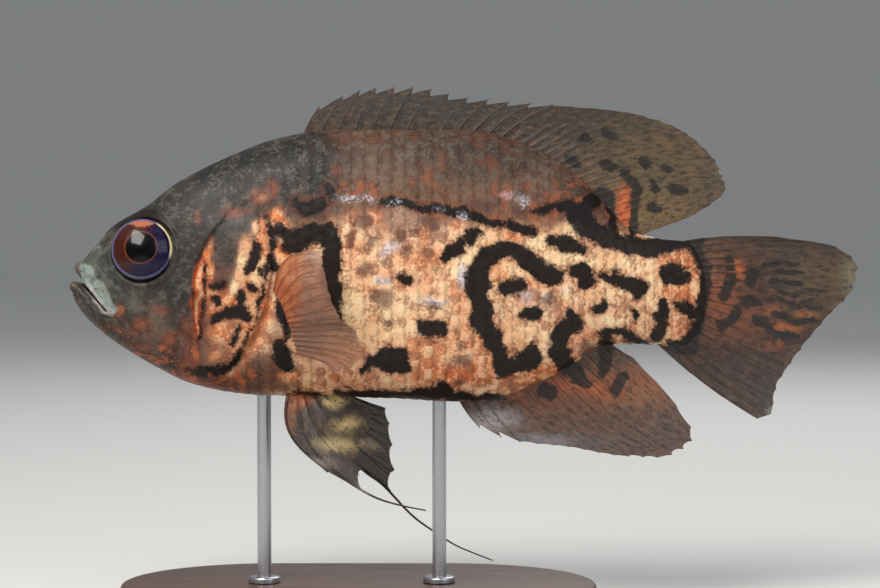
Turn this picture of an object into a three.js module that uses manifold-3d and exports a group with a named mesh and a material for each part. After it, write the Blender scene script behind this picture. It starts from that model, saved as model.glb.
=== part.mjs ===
// Oscar fish, a still life-size model held in a swimming pose on a display stand.
// Millimetres, +Z up, snout towards -X, the fish's left side towards -Y.
// The origin is the middle of the base's underside, below the fish's centre of mass.
// The fish is drawn in a frame of its own, whose zero height is FISH_HEIGHT above that underside.

import * as THREE from "three";
import { mergeVertices } from "three/addons/utils/BufferGeometryUtils.js";
import Module from "manifold-3d";

const wasm = await Module();
wasm.setup();

// Driving dimensions of the fish
const JAW_TIP_X = -82; // tip of the lower jaw; places along the body are measured back from it
const FISH_HEIGHT = 16.6; // lifts the longest fin filament clear of the base
const BODY_LENGTH = 181.5; // jaw tip to the end of the flesh inside the tail fin
const GAP = 0.3; // clearance kept between neighbouring pieces
const TAIL_BEND_START = 105; // where the body starts to swing to its right
const TAIL_BEND = 4; // sideways swing at the end of the flesh

// Side and top outlines of the body, each as [distance from the jaw tip, height or half width]
const BACK_LINE = [
  [0, 77], [2.1, 81.5], [7.7, 88.1], [12, 93.2], [21.4, 98.8], [31.1, 106], [45.9, 113.4],
  [58.4, 118.1], [73.5, 120.6], [112, 120.6], [124, 118.6], [133.4, 114.8], [144.8, 107],
  [153.3, 98.4], [161, 91.4], [168, 89.9], [181.5, 88.6],
];
const BELLY_LINE = [
  [0, 75.5], [1.5, 71.6], [4, 68.1], [8.5, 63.6], [14.8, 59], [26.2, 52.3], [33.6, 48.8],
  [42.3, 46.6], [55, 45.2], [76.4, 44.8], [95, 44.2], [110.3, 43.3], [122, 44.8], [133.4, 48.8],
  [143.4, 54.4], [151.9, 59.6], [161.9, 59.8], [181.5, 58.8],
];
const HALF_WIDTH = [
  [0, 2.4], [1, 4.2], [2.1, 5.6], [4, 7.4], [8, 9.2], [14, 10.8], [22, 12.6], [31, 14.8],
  [42, 16.8], [52, 17.8], [62, 18.2], [76, 18], [95, 17], [112, 15], [133, 11.2], [153, 7.6],
  [161, 6], [170, 3.7], [181.5, 0.8],
];
const SNOUT_ROUNDING = 1.8; // length over which the jaw tip closes
const TAIL_ROUNDING = 7; // length over which the flesh closes inside the tail fin
const WIDEST_HEIGHT = 0.46; // height of the widest point, as a share of the section
// Fullness of the sides above and below the widest point: under 1 is fuller than an ellipse
const FULLNESS_ABOVE = [[0, 0.86], [10, 0.74], [20, 0.64], [34, 0.7], [60, 0.86], [181.5, 0.86]];
const FULLNESS_BELOW = 0.86;

// Gill cover, as the outline of its free rear edge seen from the side
const GILL_EDGE = [
  [54.5, 132], [53.6, 104], [53.2, 94.5], [56.2, 89.5], [58, 82.5], [57.2, 75], [54.4, 66.7],
  [50, 59], [44.6, 52.2], [40, 47.6], [38.5, 38],
];
const GILL_COVER_FRONT_EDGE = [
  [47, 92.6], [40.4, 92], [37, 86], [36, 79], [36.4, 71], [37.4, 63], [38.2, 57.4], [40.6, 54.6],
];
const GILL_COVER_THICKNESS = 1.5;
const GILL_COVER_RISE = 1.3; // how far the cover's rear edge stands off the flank
const GILL_COVER_FRONT = 30; // the cover fades into the cheek here
const CHEEK_EDGE_AT = 37; // the raised rear edge of the cheek
const CHEEK_EDGE_RISE = 0.7;

// Mouth, eye and nostril
const GAPE_ROOF = [[-4, 84], [2.2, 80.8], [4.9, 77.6], [8.4, 73.4], [11.5, 69.4]];
const GAPE_FLOOR = [[11, 69.2], [7.6, 73.2], [4.4, 76.4], [0, 77.8], [-4, 78.4]];
const JAW_SEAM = [[11.2, 69.8], [13.2, 66], [15.6, 61.5], [17, 56], [17.4, 46]];
const LIP_RADIUS = 1.5;
const EYE_TILT = THREE.MathUtils.degToRad(12);
const EYE = { along: 21.9, height: 86.6, radius: 9.1, depth: 4.5, out: 10.3, tilt: EYE_TILT };
const EYE_RIM = 0.75; // thickness of the fold round the eye
const EYE_RIM_OUT = 1; // how far that fold lies outside the eye's middle
const NOSTRIL = { along: 7.6, height: 86.2, out: 5.4, radius: 0.95, hole: 0.45 };
const TAIL_CUT = 161.8; // where the tail stem starts

// Fins
const MEMBRANE = 0.27; // half the thickness of a fin's skin
const SPINE_RISE = 0.42; // how far a spine stands off the skin on each side
const RAY_RISE = 0.26;

const FILAMENT_RADIUS = 0.55;
const LEFT_PELVIC = {
  root: 62.6,
  bowX: -0.2,
  tips: [
    [0, 73.5, 12, 24.6], [1, 84.4, 11, 18.2], [2, 83.4, 9.5, 25], [3, 84.6, 8, 31.6],
    [4, 86, 6.5, 37], [5, 86.8, 5, 41.2],
  ],
  filament: [[87.6, 11, 16.8], [94, 10.6, 14.8], [101.2, 10.2, 13.3]],
};
const RIGHT_PELVIC = {
  root: 64.6,
  bowX: -0.12,
  tips: [
    [0, 84, 15, 22], [1, 91, 15, 16], [2, 92, 12.5, 22.4], [3, 91.4, 10, 30], [4, 90.6, 8, 36.4],
    [5, 89.6, 6, 41],
  ],
  filament: [[96.9, 15.6, 9], [103.7, 16, 3.9], [109.4, 16.4, 0.2], [113.7, 16.8, -1.8], [120.6, 17.4, -4.6]],
};

// Display stand
const BASE = { length: 136, width: 84, thickness: 8, bevel: 1.2 };
const ROD_RADIUS = 2;
const ROD_PLACES = { stand_rod_front: -27, stand_rod_rear: 23 };
const ROD_FOOT = { radius: 4.6, height: 1.6 };

const FACING_Y = new THREE.Matrix4().makeRotationX(Math.PI / 2);

// Cubic curve through [place, value] pairs, with no overshoot between them.
function through(points) {
  const slopes = points.slice(1).map((p, i) => (p[1] - points[i][1]) / (p[0] - points[i][0]));
  const tangents = points.map((_, i) => {
    if (i === 0) return slopes[0];
    if (i === points.length - 1) return slopes[i - 1];
    const [before, after] = [slopes[i - 1], slopes[i]];
    return before * after <= 0 ? 0 : (2 * before * after) / (before + after);
  });
  return (place) => {
    const last = points.length - 2;
    let i = 0;
    while (i < last && place > points[i + 1][0]) i += 1;
    const [from, to] = [points[i], points[i + 1]];
    const span = to[0] - from[0];
    const t = THREE.MathUtils.clamp((place - from[0]) / span, 0, 1);
    const [tt, ttt] = [t * t, t * t * t];
    return (
      from[1] * (2 * ttt - 3 * tt + 1) + tangents[i] * span * (ttt - 2 * tt + t) +
      to[1] * (3 * tt - 2 * ttt) + tangents[i + 1] * span * (ttt - tt)
    );
  };
}

const backAt = through(BACK_LINE);
const bellyAt = through(BELLY_LINE);
const halfWidthAt = through(HALF_WIDTH);
const fullnessAboveAt = through(FULLNESS_ABOVE);

// Sideways place of the body's middle, which swings off line towards the tail.
function middleAt(along) {
  const share = Math.max(0, along - TAIL_BEND_START) / (BODY_LENGTH - TAIL_BEND_START);
  return TAIL_BEND * share * share;
}

// Half width of the flank at a height, without the gill cover.
function flankAt(along, height) {
  const [top, bottom] = [backAt(along), bellyAt(along)];
  const widest = bottom + (top - bottom) * WIDEST_HEIGHT;
  const reach = height > widest ? top - widest : widest - bottom;
  const level = THREE.MathUtils.clamp(Math.abs(height - widest) / reach, 0, 1);
  const fullness = height > widest ? fullnessAboveAt(along) : FULLNESS_BELOW;
  return halfWidthAt(along) * Math.sqrt(1 - level * level) ** fullness;
}

function solidOf(geometry) {
  const bare = geometry.index ? geometry.toNonIndexed() : geometry.clone();
  const placed = new THREE.BufferGeometry();
  placed.setAttribute("position", bare.getAttribute("position"));
  const merged = mergeVertices(placed, 1e-3);
  return new wasm.Manifold(
    new wasm.Mesh({
      numProp: 3,
      vertProperties: merged.attributes.position.array,
      triVerts: new Uint32Array(merged.index.array),
    }),
  );
}

// The largest closed surface of a solid.
function largest(solid) {
  return solid.decompose().sort((a, b) => b.volume() - a.volume())[0];
}

// A ball whose poles are drawn out along a path: place(v, turn) gives the vertex at share v of the path.
function drawnOut(sides, rings, place) {
  const ball = new THREE.SphereGeometry(1, sides, rings);
  const [at, share] = [ball.getAttribute("position"), ball.getAttribute("uv")];
  for (let i = 0; i < at.count; i += 1) {
    const v = 1 - share.getY(i);
    const turn = Math.round(v * rings) % rings === 0 ? 0 : share.getX(i) * 2 * Math.PI;
    at.setXYZ(i, ...place(v, turn));
  }
  const solid = solidOf(ball);
  return solid.volume() < 0 ? solidOf(turnedRound(ball)) : solid;
}

function turnedRound(geometry) {
  const order = geometry.index.array;
  for (let i = 0; i < order.length; i += 3) [order[i], order[i + 1]] = [order[i + 1], order[i]];
  return geometry;
}

// How far the gill cover and the cheek's edge stand off the head at a place on its side.
function headRise(along, height) {
  const edge = gillEdgeAt(height);
  if (along > edge + 6 || height > 100) return 0;
  const up = THREE.MathUtils.smoothstep(along, GILL_COVER_FRONT, edge - 1);
  const fade = 1 - THREE.MathUtils.smoothstep(height, 92, 100);
  const cheek = Math.exp(-(((along - CHEEK_EDGE_AT) / 2.2) ** 2)) * CHEEK_EDGE_RISE;
  return (GILL_COVER_RISE * up + cheek) * fade * THREE.MathUtils.smoothstep(height, 46, 54);
}

const gillEdgeAt = through([...GILL_EDGE].reverse().map(([along, height]) => [height, along]));

// The whole body, snout to tail stem, grown outwards by a margin.
function bodyLoft(grow = 0, rise = () => 0) {
  const [sides, rings] = [32, 42];
  const alongAt = through([[0, 0], [0.06, 1.6], [0.5, 62], [0.9, 166], [1, BODY_LENGTH]]);
  return drawnOut(sides, rings, (v, turn) => {
    const along = alongAt(v);
    const snout = Math.min(1, along / SNOUT_ROUNDING);
    const stern = Math.min(1, (BODY_LENGTH - along) / TAIL_ROUNDING);
    const close = Math.sqrt(1 - (1 - snout) ** 2) * Math.sqrt(1 - (1 - stern) ** 2);
    const [top, bottom] = [backAt(along), bellyAt(along)];
    const widest = bottom + (top - bottom) * WIDEST_HEIGHT;
    const [across, up] = [Math.sin(turn), Math.cos(turn)];
    const reach = (up > 0 ? top - widest : widest - bottom) * close;
    const height = widest + reach * up + grow * up * Math.min(1, close * 4);
    const fullness = up > 0 ? fullnessAboveAt(along) : FULLNESS_BELOW;
    const side = Math.sign(across) * Math.abs(across) ** fullness;
    const half = halfWidthAt(along) * close + (grow + rise(along, height)) * Math.min(1, close * 4);
    const end = grow * ((v > 0.97) - (v < 0.03));
    return [JAW_TIP_X + along + end, middleAt(along) + half * side, height];
  });
}

// A straight prism through the body, with its outline given in the side view.
function sidePrism(outline, halfDepth = 60) {
  const corners = outline.map(([along, height]) => new THREE.Vector2(along, height));
  const shape = new THREE.Shape(THREE.ShapeUtils.isClockWise(corners) ? corners.reverse() : corners);
  const prism = new THREE.ExtrudeGeometry(shape, { depth: 2 * halfDepth, bevelEnabled: false });
  prism.applyMatrix4(FACING_Y).translate(JAW_TIP_X, halfDepth, 0);
  return solidOf(prism);
}

// Points of a smooth line through the given ones, seen from the side.
function smoothLine(points, count) {
  return new THREE.SplineCurve(points.map(([a, h]) => new THREE.Vector2(a, h)))
    .getPoints(count)
    .map((p) => [p.x, p.y]);
}

// A tapering cord of flesh along a 3-D curve.
function fleshCord(curve, radiusAt, sides = 10, rings = 20) {
  return drawnOut(sides, rings, (v, turn) => {
    const centre = curve.getPoint(v);
    const tangent = curve.getTangent(v);
    const across = new THREE.Vector3(0, 0, 1).cross(tangent).normalize();
    const up = new THREE.Vector3().crossVectors(tangent, across);
    const radius = v <= 0 || v >= 1 ? 0 : radiusAt(v);
    return centre
      .addScaledVector(across, radius * Math.cos(turn))
      .addScaledVector(up, radius * Math.sin(turn))
      .toArray();
  });
}

// A lip round the front of the mouth, from one corner to the other.
function lip(line, inset, radius) {
  const side = line.map(([along, height]) => [along, height, flankAt(along, height) * inset]);
  const points = [
    ...side.map(([a, h, y]) => new THREE.Vector3(JAW_TIP_X + a, -y, h)).reverse(),
    ...side.map(([a, h, y]) => new THREE.Vector3(JAW_TIP_X + a, y, h)),
  ];
  const curve = new THREE.CatmullRomCurve3(points, false, "centripetal");
  return fleshCord(curve, (v) => radius * (0.55 + 0.45 * Math.sin(Math.PI * v)), 8, 16);
}

function lipsSolid() {
  const upper = lip([[3.4, 81], [4.6, 79], [7.6, 74.8], [11, 70.4]], 0.97, LIP_RADIUS);
  const lower = lip([[1.7, 76.2], [3.4, 75], [6.2, 72.2], [10, 68]], 0.97, LIP_RADIUS * 0.95);
  return upper.add(lower);
}

// Sets a shape that faces sideways in the eye's place, leaning in at its top as the head does.
function inEyePlace(geometry, side) {
  geometry.rotateX(side * EYE.tilt);
  return geometry.translate(JAW_TIP_X + EYE.along, side * EYE.out, EYE.height);
}

// The eyeball, flattened as it sits in the head, grown by a margin.
function eyeSolid(side, grow = 0) {
  const ball = new THREE.SphereGeometry(1, 22, 12).rotateX(Math.PI / 2);
  ball.scale(EYE.radius + grow, EYE.depth + grow, EYE.radius + grow);
  return solidOf(inEyePlace(ball, side));
}

// The raised fold of skin round an eye.
function eyeRimSolid(side) {
  const ring = new THREE.TorusGeometry(EYE.radius - 0.2, EYE_RIM, 6, 24).rotateX(Math.PI / 2);
  ring.translate(0, side * EYE_RIM_OUT, 0);
  return solidOf(inEyePlace(ring, side));
}

function nostrilSolid(side, radius, length) {
  const tube = new THREE.CylinderGeometry(radius * 0.8, radius, length, 8);
  tube.rotateZ(Math.PI / 5).rotateX(side * 0.7);
  tube.translate(JAW_TIP_X + NOSTRIL.along, side * NOSTRIL.out, NOSTRIL.height);
  return solidOf(tube);
}

// A line that runs down the side view, moved towards the snout by a margin all along.
function movedAhead(line, margin) {
  return line.map(([along, height], i) => {
    const [before, after] = [line[Math.max(0, i - 1)], line[Math.min(line.length - 1, i + 1)]];
    const [dx, dz] = [after[0] - before[0], after[1] - before[1]];
    const step = margin / Math.hypot(dx, dz);
    return [along + dz * step, height - dx * step];
  });
}

// Everything ahead of the gill covers' free edge, moved back by a margin.
function frontPrism(margin) {
  const edge = movedAhead(smoothLine(GILL_EDGE, 22), -margin);
  return sidePrism([...edge, [-20, 38], [-20, 132]]);
}

// The plates over the gills: a shell of the head's side between the cheek and the free rear edge.
function gillCoverPrism(margin) {
  const front = movedAhead(smoothLine(GILL_COVER_FRONT_EDGE, 16), margin);
  return sidePrism([...front, [70, front.at(-1)[1]], [70, front[0][1]]]);
}

// Head, lower jaw, gill covers, trunk and tail stem, parted by thin cuts.
function fleshSolids() {
  let face = bodyLoft(0, headRise).intersect(frontPrism(0)).add(lipsSolid());
  for (const side of [-1, 1]) {
    face = face.add(eyeRimSolid(side)).subtract(eyeSolid(side, GAP));
    face = face.add(nostrilSolid(side, NOSTRIL.radius, 2.6));
    face = face.subtract(nostrilSolid(side, NOSTRIL.hole, 5));
  }
  const seam = smoothLine(JAW_SEAM, 10);
  const seamCut = [...seam, ...movedAhead(seam, GAP * 1.2).reverse()];
  face = face.subtract(sidePrism([...GAPE_ROOF, ...GAPE_FLOOR])).subtract(sidePrism(seamCut));
  const [skull, jaw] = face.decompose().sort((a, b) => b.volume() - a.volume());
  const plates = gillCoverPrism(0).subtract(bodyLoft(-GILL_COVER_THICKNESS, headRise));
  const room = gillCoverPrism(GAP).subtract(bodyLoft(-GILL_COVER_THICKNESS - GAP, headRise));
  const covers = skull.intersect(plates);
  const rear = bodyLoft().subtract(frontPrism(GAP * 1.3));
  const tailBox = (from) => sidePrism([[from, 0], [300, 0], [300, 200], [from, 200]]);
  return {
    head: largest(skull.subtract(room)),
    lower_jaw: jaw,
    gill_cover_left: onSide(covers, -1),
    gill_cover_right: onSide(covers, 1),
    torso: largest(rear.subtract(tailBox(TAIL_CUT))),
    tail_stem: largest(rear.intersect(tailBox(TAIL_CUT + GAP))),
  };
}

// The largest closed surface of a solid that lies wholly on one side of the fish.
function onSide(solid, side) {
  const middle = (piece) => (piece.boundingBox().min[1] + piece.boundingBox().max[1]) / 2;
  const pieces = solid.decompose().filter((piece) => middle(piece) * side > 0);
  return pieces.sort((a, b) => b.volume() - a.volume())[0];
}

// A fin as one closed sheet. place(ray, out) gives the middle of the skin at a ray number and a share of
// the way from root to edge; rays are ridges on both faces, and both faces are split alike.
function finSolid({ rays, spines = 0, rows = 5, place, notch = 0, spineNotch = 0.08, rayRise = RAY_RISE }) {
  const columns = [];
  for (let ray = 0; ray < rays; ray += 1) {
    const spiny = ray < spines;
    columns.push({ at: ray, rise: spiny ? SPINE_RISE : rayRise, short: 0 });
    if (ray === rays - 1) break;
    if (spiny) {
      columns.push({ at: ray + 0.24, rise: 0, short: spineNotch });
      columns.push({ at: ray + 0.76, rise: 0, short: spineNotch * 0.3 });
    } else {
      columns.push({ at: ray + 0.5, rise: 0, short: notch });
    }
  }
  const grid = columns.map(({ at, rise, short }) =>
    Array.from({ length: rows + 1 }, (_, row) => {
      const out = (row / rows) * (1 - short);
      const [centre, normal] = [place(at, out), finNormal(place, at, out)];
      const thick = MEMBRANE + rise * (1 - 0.65 * out);
      return [1, -1].map((face) => centre.clone().addScaledVector(normal, face * thick));
    }),
  );
  return sheetSolid(grid);
}

function finNormal(place, ray, out) {
  const step = 0.02;
  const acrossRays = place(ray + step, out).sub(place(ray - step, out));
  const alongRay = place(ray, out + step).sub(place(ray, out - step));
  return acrossRays.cross(alongRay).normalize();
}

// Closes a grid of [front, back] vertex pairs into one body.
function sheetSolid(grid) {
  const [columns, rows] = [grid.length, grid[0].length];
  const index = (column, row, face) => (column * rows + row) * 2 + face;
  const faces = [];
  const quad = (a, b, c, d) => faces.push(a, b, c, a, c, d);
  for (let i = 0; i < columns - 1; i += 1) {
    for (let j = 0; j < rows - 1; j += 1) {
      quad(index(i, j, 0), index(i + 1, j, 0), index(i + 1, j + 1, 0), index(i, j + 1, 0));
      faces.push(index(i, j, 1), index(i + 1, j + 1, 1), index(i + 1, j, 1));
      faces.push(index(i, j, 1), index(i, j + 1, 1), index(i + 1, j + 1, 1));
    }
    quad(index(i, 0, 0), index(i, 0, 1), index(i + 1, 0, 1), index(i + 1, 0, 0));
    quad(index(i, rows - 1, 0), index(i + 1, rows - 1, 0), index(i + 1, rows - 1, 1), index(i, rows - 1, 1));
  }
  for (let j = 0; j < rows - 1; j += 1) {
    quad(index(0, j, 0), index(0, j + 1, 0), index(0, j + 1, 1), index(0, j, 1));
    const last = columns - 1;
    quad(index(last, j, 0), index(last, j, 1), index(last, j + 1, 1), index(last, j + 1, 0));
  }
  const geometry = new THREE.BufferGeometry();
  const places = grid.flat(2).flatMap((p) => p.toArray());
  geometry.setAttribute("position", new THREE.Float32BufferAttribute(places, 3));
  geometry.setIndex(faces);
  const solid = solidOf(geometry);
  return solid.volume() < 0 ? solidOf(turnedRound(geometry)) : solid;
}

// Points along one curve given at a few ray numbers, each as [ray, along, sideways, height].
function overRays(points) {
  const [along, sideways, height] = [1, 2, 3].map((k) => through(points.map((p) => [p[0], p[k]])));
  return (ray) => new THREE.Vector3(JAW_TIP_X + along(ray), sideways(ray), height(ray));
}

// Place function of a fin whose rays run from a root curve to a tip curve and bow by a share of their length.
function fan(rootAt, tipAt, bow) {
  return (ray, out) => {
    const [root, tip] = [rootAt(ray), tipAt(ray)];
    const belly = Math.sin(Math.PI * THREE.MathUtils.clamp(out, 0, 1));
    return root.clone().lerp(tip, out).addScaledVector(bow(ray), belly * root.distanceTo(tip));
  };
}

// Dorsal fin: thirteen spines, then twenty soft rays that sweep back over the tail stem.
function dorsalFin() {
  const spines = 13;
  const rays = 33;
  const rootAlong = through([[0, 66], [12, 121], [14, 127], [32, 160.6]]);
  const rootAt = (ray) => {
    const along = rootAlong(ray);
    return new THREE.Vector3(JAW_TIP_X + along, middleAt(along), backAt(along) - 2.2);
  };
  const tipAt = overRays([
    [0, 70.8, 0, 127.2], [1, 77.6, 0, 130.4], [3, 87, 0, 132.6], [5, 97.5, 0, 132.8],
    [8, 113, 0.2, 129.8], [12, 137, 0.8, 127.8], [15, 154, 1.5, 126.4], [18, 167.6, 2.2, 123.6],
    [21, 178.4, 3, 117.8], [24, 185.4, 3.8, 109.6], [27, 187, 4.2, 104], [30, 178, 3.6, 96.6],
    [32, 167.5, 3, 92.6],
  ]);
  const bow = (ray) => new THREE.Vector3(-0.03, 0, 0.03 + 0.02 * Math.min(1, ray / 20));
  return finSolid({ rays, spines, place: fan(rootAt, tipAt, bow), notch: 0.015, spineNotch: 0.14 });
}

// Anal fin: three spines, then sixteen soft rays.
function analFin() {
  const rootAlong = through([[0, 110], [2, 117], [18, 151.6]]);
  const rootAt = (ray) => {
    const along = rootAlong(ray);
    return new THREE.Vector3(JAW_TIP_X + along, middleAt(along), bellyAt(along) + 2.2);
  };
  const tipAt = overRays([
    [0, 116.6, 0.2, 35.8], [1, 122.6, 0.2, 33.2], [2, 128, 0.3, 31.8], [5, 142.2, 0.6, 30.2],
    [8, 155, 1.2, 27.8], [11, 167.6, 2, 27], [13, 175, 2.6, 29.4], [14.5, 178, 3, 33.4],
    [16, 173, 3, 42], [18, 160.6, 2.8, 55.6],
  ]);
  const bow = () => new THREE.Vector3(-0.02, 0, -0.04);
  return finSolid({ rays: 19, spines: 3, place: fan(rootAt, tipAt, bow), notch: 0.02, spineNotch: 0.16 });
}

// Tail fin: its upper lobe runs straight back, its lower lobe swings away to the fish's right.
function tailFin() {
  const base = overRays([[0, 172, 3, 88.4], [8.5, 177.6, 3.9, 74], [17, 167, 2.8, 60.4]]);
  const tipAt = overRays([
    [0, 202, 5, 90.2], [2, 219.2, 7.5, 87.3], [4, 225.9, 10, 81.2], [6, 224.8, 12.5, 74.7],
    [8, 219.1, 15, 68.2], [11, 210.6, 19, 57], [14, 204, 23, 45.2], [16, 202.8, 25, 37.8],
    [17, 198.8, 25, 36.3],
  ]);
  const bow = (ray) => new THREE.Vector3(0, 0.05, 0.03 * Math.cos((Math.PI * ray) / 17));
  return finSolid({ rays: 18, place: fan(base, tipAt, bow), notch: 0.015, rows: 6, rayRise: 0.3 });
}

// Pectoral fin, a fan spread out from the flank just behind the gill cover.
function pectoralFin(side) {
  const rootAt = (ray) => {
    const share = ray / 13;
    const [along, height] = [58.6 + 5.4 * share, 73.6 - 15.4 * share];
    return new THREE.Vector3(JAW_TIP_X + along, side * (flankAt(along, height) - 1.6), height);
  };
  const tipAt = overRays(
    [
      [0, 72.7, 31, 86.8], [1.5, 73.6, 34, 82.4], [4, 75.6, 37.5, 74.8], [6, 77.8, 38.5, 69],
      [8, 82.4, 38, 65.2], [9.5, 83.4, 37, 61.2], [11.5, 82.4, 34.5, 56.2], [13, 76.6, 31, 53.4],
    ].map(([ray, along, out, height]) => [ray, along, side * out, height]),
  );
  const bow = (ray) => {
    const upper = Math.max(0, 1 - ray / 5);
    return new THREE.Vector3(0.1 - 0.22 * upper, side * 0.1, 0.02 + 0.15 * upper);
  };
  return finSolid({ rays: 14, place: fan(rootAt, tipAt, bow), notch: 0.03 });
}

// Pelvic fins: a spine and five soft rays, whose first ray goes on as a thin filament.
function pelvicFin(side, { root, tips, bowX, filament }) {
  const rootAt = (ray) => {
    const along = root + 1.9 * ray;
    return new THREE.Vector3(JAW_TIP_X + along, side * (2.8 + 0.35 * (5 - ray)), bellyAt(along) + 2.6);
  };
  const tipAt = overRays(tips.map(([ray, along, out, height]) => [ray, along, side * out, height]));
  const bow = (ray) => new THREE.Vector3(bowX * (1 - ray / 6), side * 0.05, -0.03);
  const place = fan(rootAt, tipAt, bow);
  const web = finSolid({ rays: 6, spines: 1, rows: 6, place, notch: 0.05, spineNotch: 0.02 });
  const free = filament.map(
    ([along, out, height]) => new THREE.Vector3(JAW_TIP_X + along, side * out, height),
  );
  const line = new THREE.CatmullRomCurve3([place(1, 0.6), place(1, 0.8), place(1, 0.94), ...free]);
  const thread = fleshCord(line, (v) => FILAMENT_RADIUS * (1 - 0.45 * v), 6, 2 * free.length + 6);
  return web.add(thread);
}

function basePlate() {
  const round = BASE.width / 2;
  const straight = BASE.length / 2 - round;
  const outline = new THREE.Shape()
    .absarc(straight, 0, round - BASE.bevel, -Math.PI / 2, Math.PI / 2)
    .absarc(-straight, 0, round - BASE.bevel, Math.PI / 2, (3 * Math.PI) / 2);
  const plate = new THREE.ExtrudeGeometry(outline, {
    depth: BASE.thickness - 2 * BASE.bevel,
    bevelThickness: BASE.bevel,
    bevelSize: BASE.bevel,
    bevelSegments: 1,
    curveSegments: 16,
  });
  return solidOf(plate.translate(0, 0, BASE.bevel));
}

// A rod with a round foot, standing on the base and cut to the belly above it.
function rodSolid(x, body) {
  const [foot, top] = [BASE.thickness + GAP - FISH_HEIGHT, 60];
  const profile = [
    [0, foot], [ROD_FOOT.radius, foot], [ROD_FOOT.radius, foot + ROD_FOOT.height * 0.6],
    [ROD_FOOT.radius - 0.7, foot + ROD_FOOT.height], [ROD_RADIUS, foot + ROD_FOOT.height],
    [ROD_RADIUS, top], [0, top],
  ].map(([radius, height]) => new THREE.Vector2(radius, height));
  const rod = new THREE.LatheGeometry(profile, 20).rotateX(Math.PI / 2).translate(x, 0, 0);
  const turned = solidOf(rod);
  const below = (turned.volume() < 0 ? solidOf(turnedRound(rod)) : turned).subtract(body).decompose();
  return below.sort((a, b) => a.boundingBox().min[2] - b.boundingBox().min[2])[0];
}

function meshOf(name, solid, material) {
  const { vertProperties, triVerts } = solid.getMesh();
  const geometry = new THREE.BufferGeometry();
  geometry.setAttribute("position", new THREE.BufferAttribute(vertProperties, 3));
  geometry.setIndex(new THREE.BufferAttribute(triVerts, 1));
  geometry.computeVertexNormals();
  const mesh = new THREE.Mesh(geometry, material);
  mesh.name = name;
  return mesh;
}

const finish = (color, roughness, metalness = 0) =>
  new THREE.MeshStandardMaterial({ color, roughness, metalness, flatShading: true });
const FINISHES = {
  slate: finish(0x3a3d3a, 0.4),
  flank: finish(0xd98f55, 0.38),
  fin: finish(0x5c4434, 0.5),
  pectoral: finish(0xa4684a, 0.5),
  eye: finish(0x1c1a2c, 0.08),
  wood: finish(0x3a2417, 0.45),
  steel: finish(0xb9bcc0, 0.3, 1),
};

const fish = new THREE.Group();
const body = bodyLoft(GAP, headRise);
const flesh = fleshSolids();
const SLATE_PIECES = ["head", "lower_jaw"];
for (const [name, solid] of Object.entries(flesh)) {
  fish.add(meshOf(name, solid, SLATE_PIECES.includes(name) ? FINISHES.slate : FINISHES.flank));
}
for (const [name, side] of [["eye_left", -1], ["eye_right", 1]]) {
  fish.add(meshOf(name, eyeSolid(side), FINISHES.eye));
}
const fins = {
  dorsal_fin: dorsalFin(),
  anal_fin: analFin(),
  tail_fin: tailFin(),
  pelvic_fin_left: pelvicFin(-1, LEFT_PELVIC),
  pelvic_fin_right: pelvicFin(1, RIGHT_PELVIC),
  pectoral_fin_left: pectoralFin(-1),
  pectoral_fin_right: pectoralFin(1),
};
for (const [name, solid] of Object.entries(fins)) {
  const material = name.startsWith("pectoral") ? FINISHES.pectoral : FINISHES.fin;
  fish.add(meshOf(name, largest(solid.subtract(body)), material));
}

for (const [name, x] of Object.entries(ROD_PLACES)) {
  fish.add(meshOf(name, rodSolid(x, body), FINISHES.steel));
}
fish.position.z = FISH_HEIGHT;

const model = new THREE.Group();
model.add(meshOf("stand_base", basePlate(), FINISHES.wood), fish);
export default model;
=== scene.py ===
"""Oscar fish, a still life-size model on a display stand: skin, scales, fins, eyes and stand."""
import math

import bmesh
import bpy
import numpy as np
from mathutils import Matrix, Vector
from mathutils.kdtree import KDTree


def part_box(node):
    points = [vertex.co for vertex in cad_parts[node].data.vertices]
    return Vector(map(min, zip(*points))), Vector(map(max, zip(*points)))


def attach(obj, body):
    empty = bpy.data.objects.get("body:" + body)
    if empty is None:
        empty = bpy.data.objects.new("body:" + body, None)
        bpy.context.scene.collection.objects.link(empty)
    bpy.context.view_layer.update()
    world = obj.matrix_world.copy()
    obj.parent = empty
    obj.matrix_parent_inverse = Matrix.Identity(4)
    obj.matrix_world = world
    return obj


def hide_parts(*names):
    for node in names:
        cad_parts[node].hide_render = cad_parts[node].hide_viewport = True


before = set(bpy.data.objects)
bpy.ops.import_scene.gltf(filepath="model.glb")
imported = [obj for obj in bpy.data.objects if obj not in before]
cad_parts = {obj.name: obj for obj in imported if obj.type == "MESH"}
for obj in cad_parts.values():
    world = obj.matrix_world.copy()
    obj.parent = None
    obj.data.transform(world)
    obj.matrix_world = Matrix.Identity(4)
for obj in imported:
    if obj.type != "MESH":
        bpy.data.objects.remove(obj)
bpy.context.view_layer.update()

MM = 0.001

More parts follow.
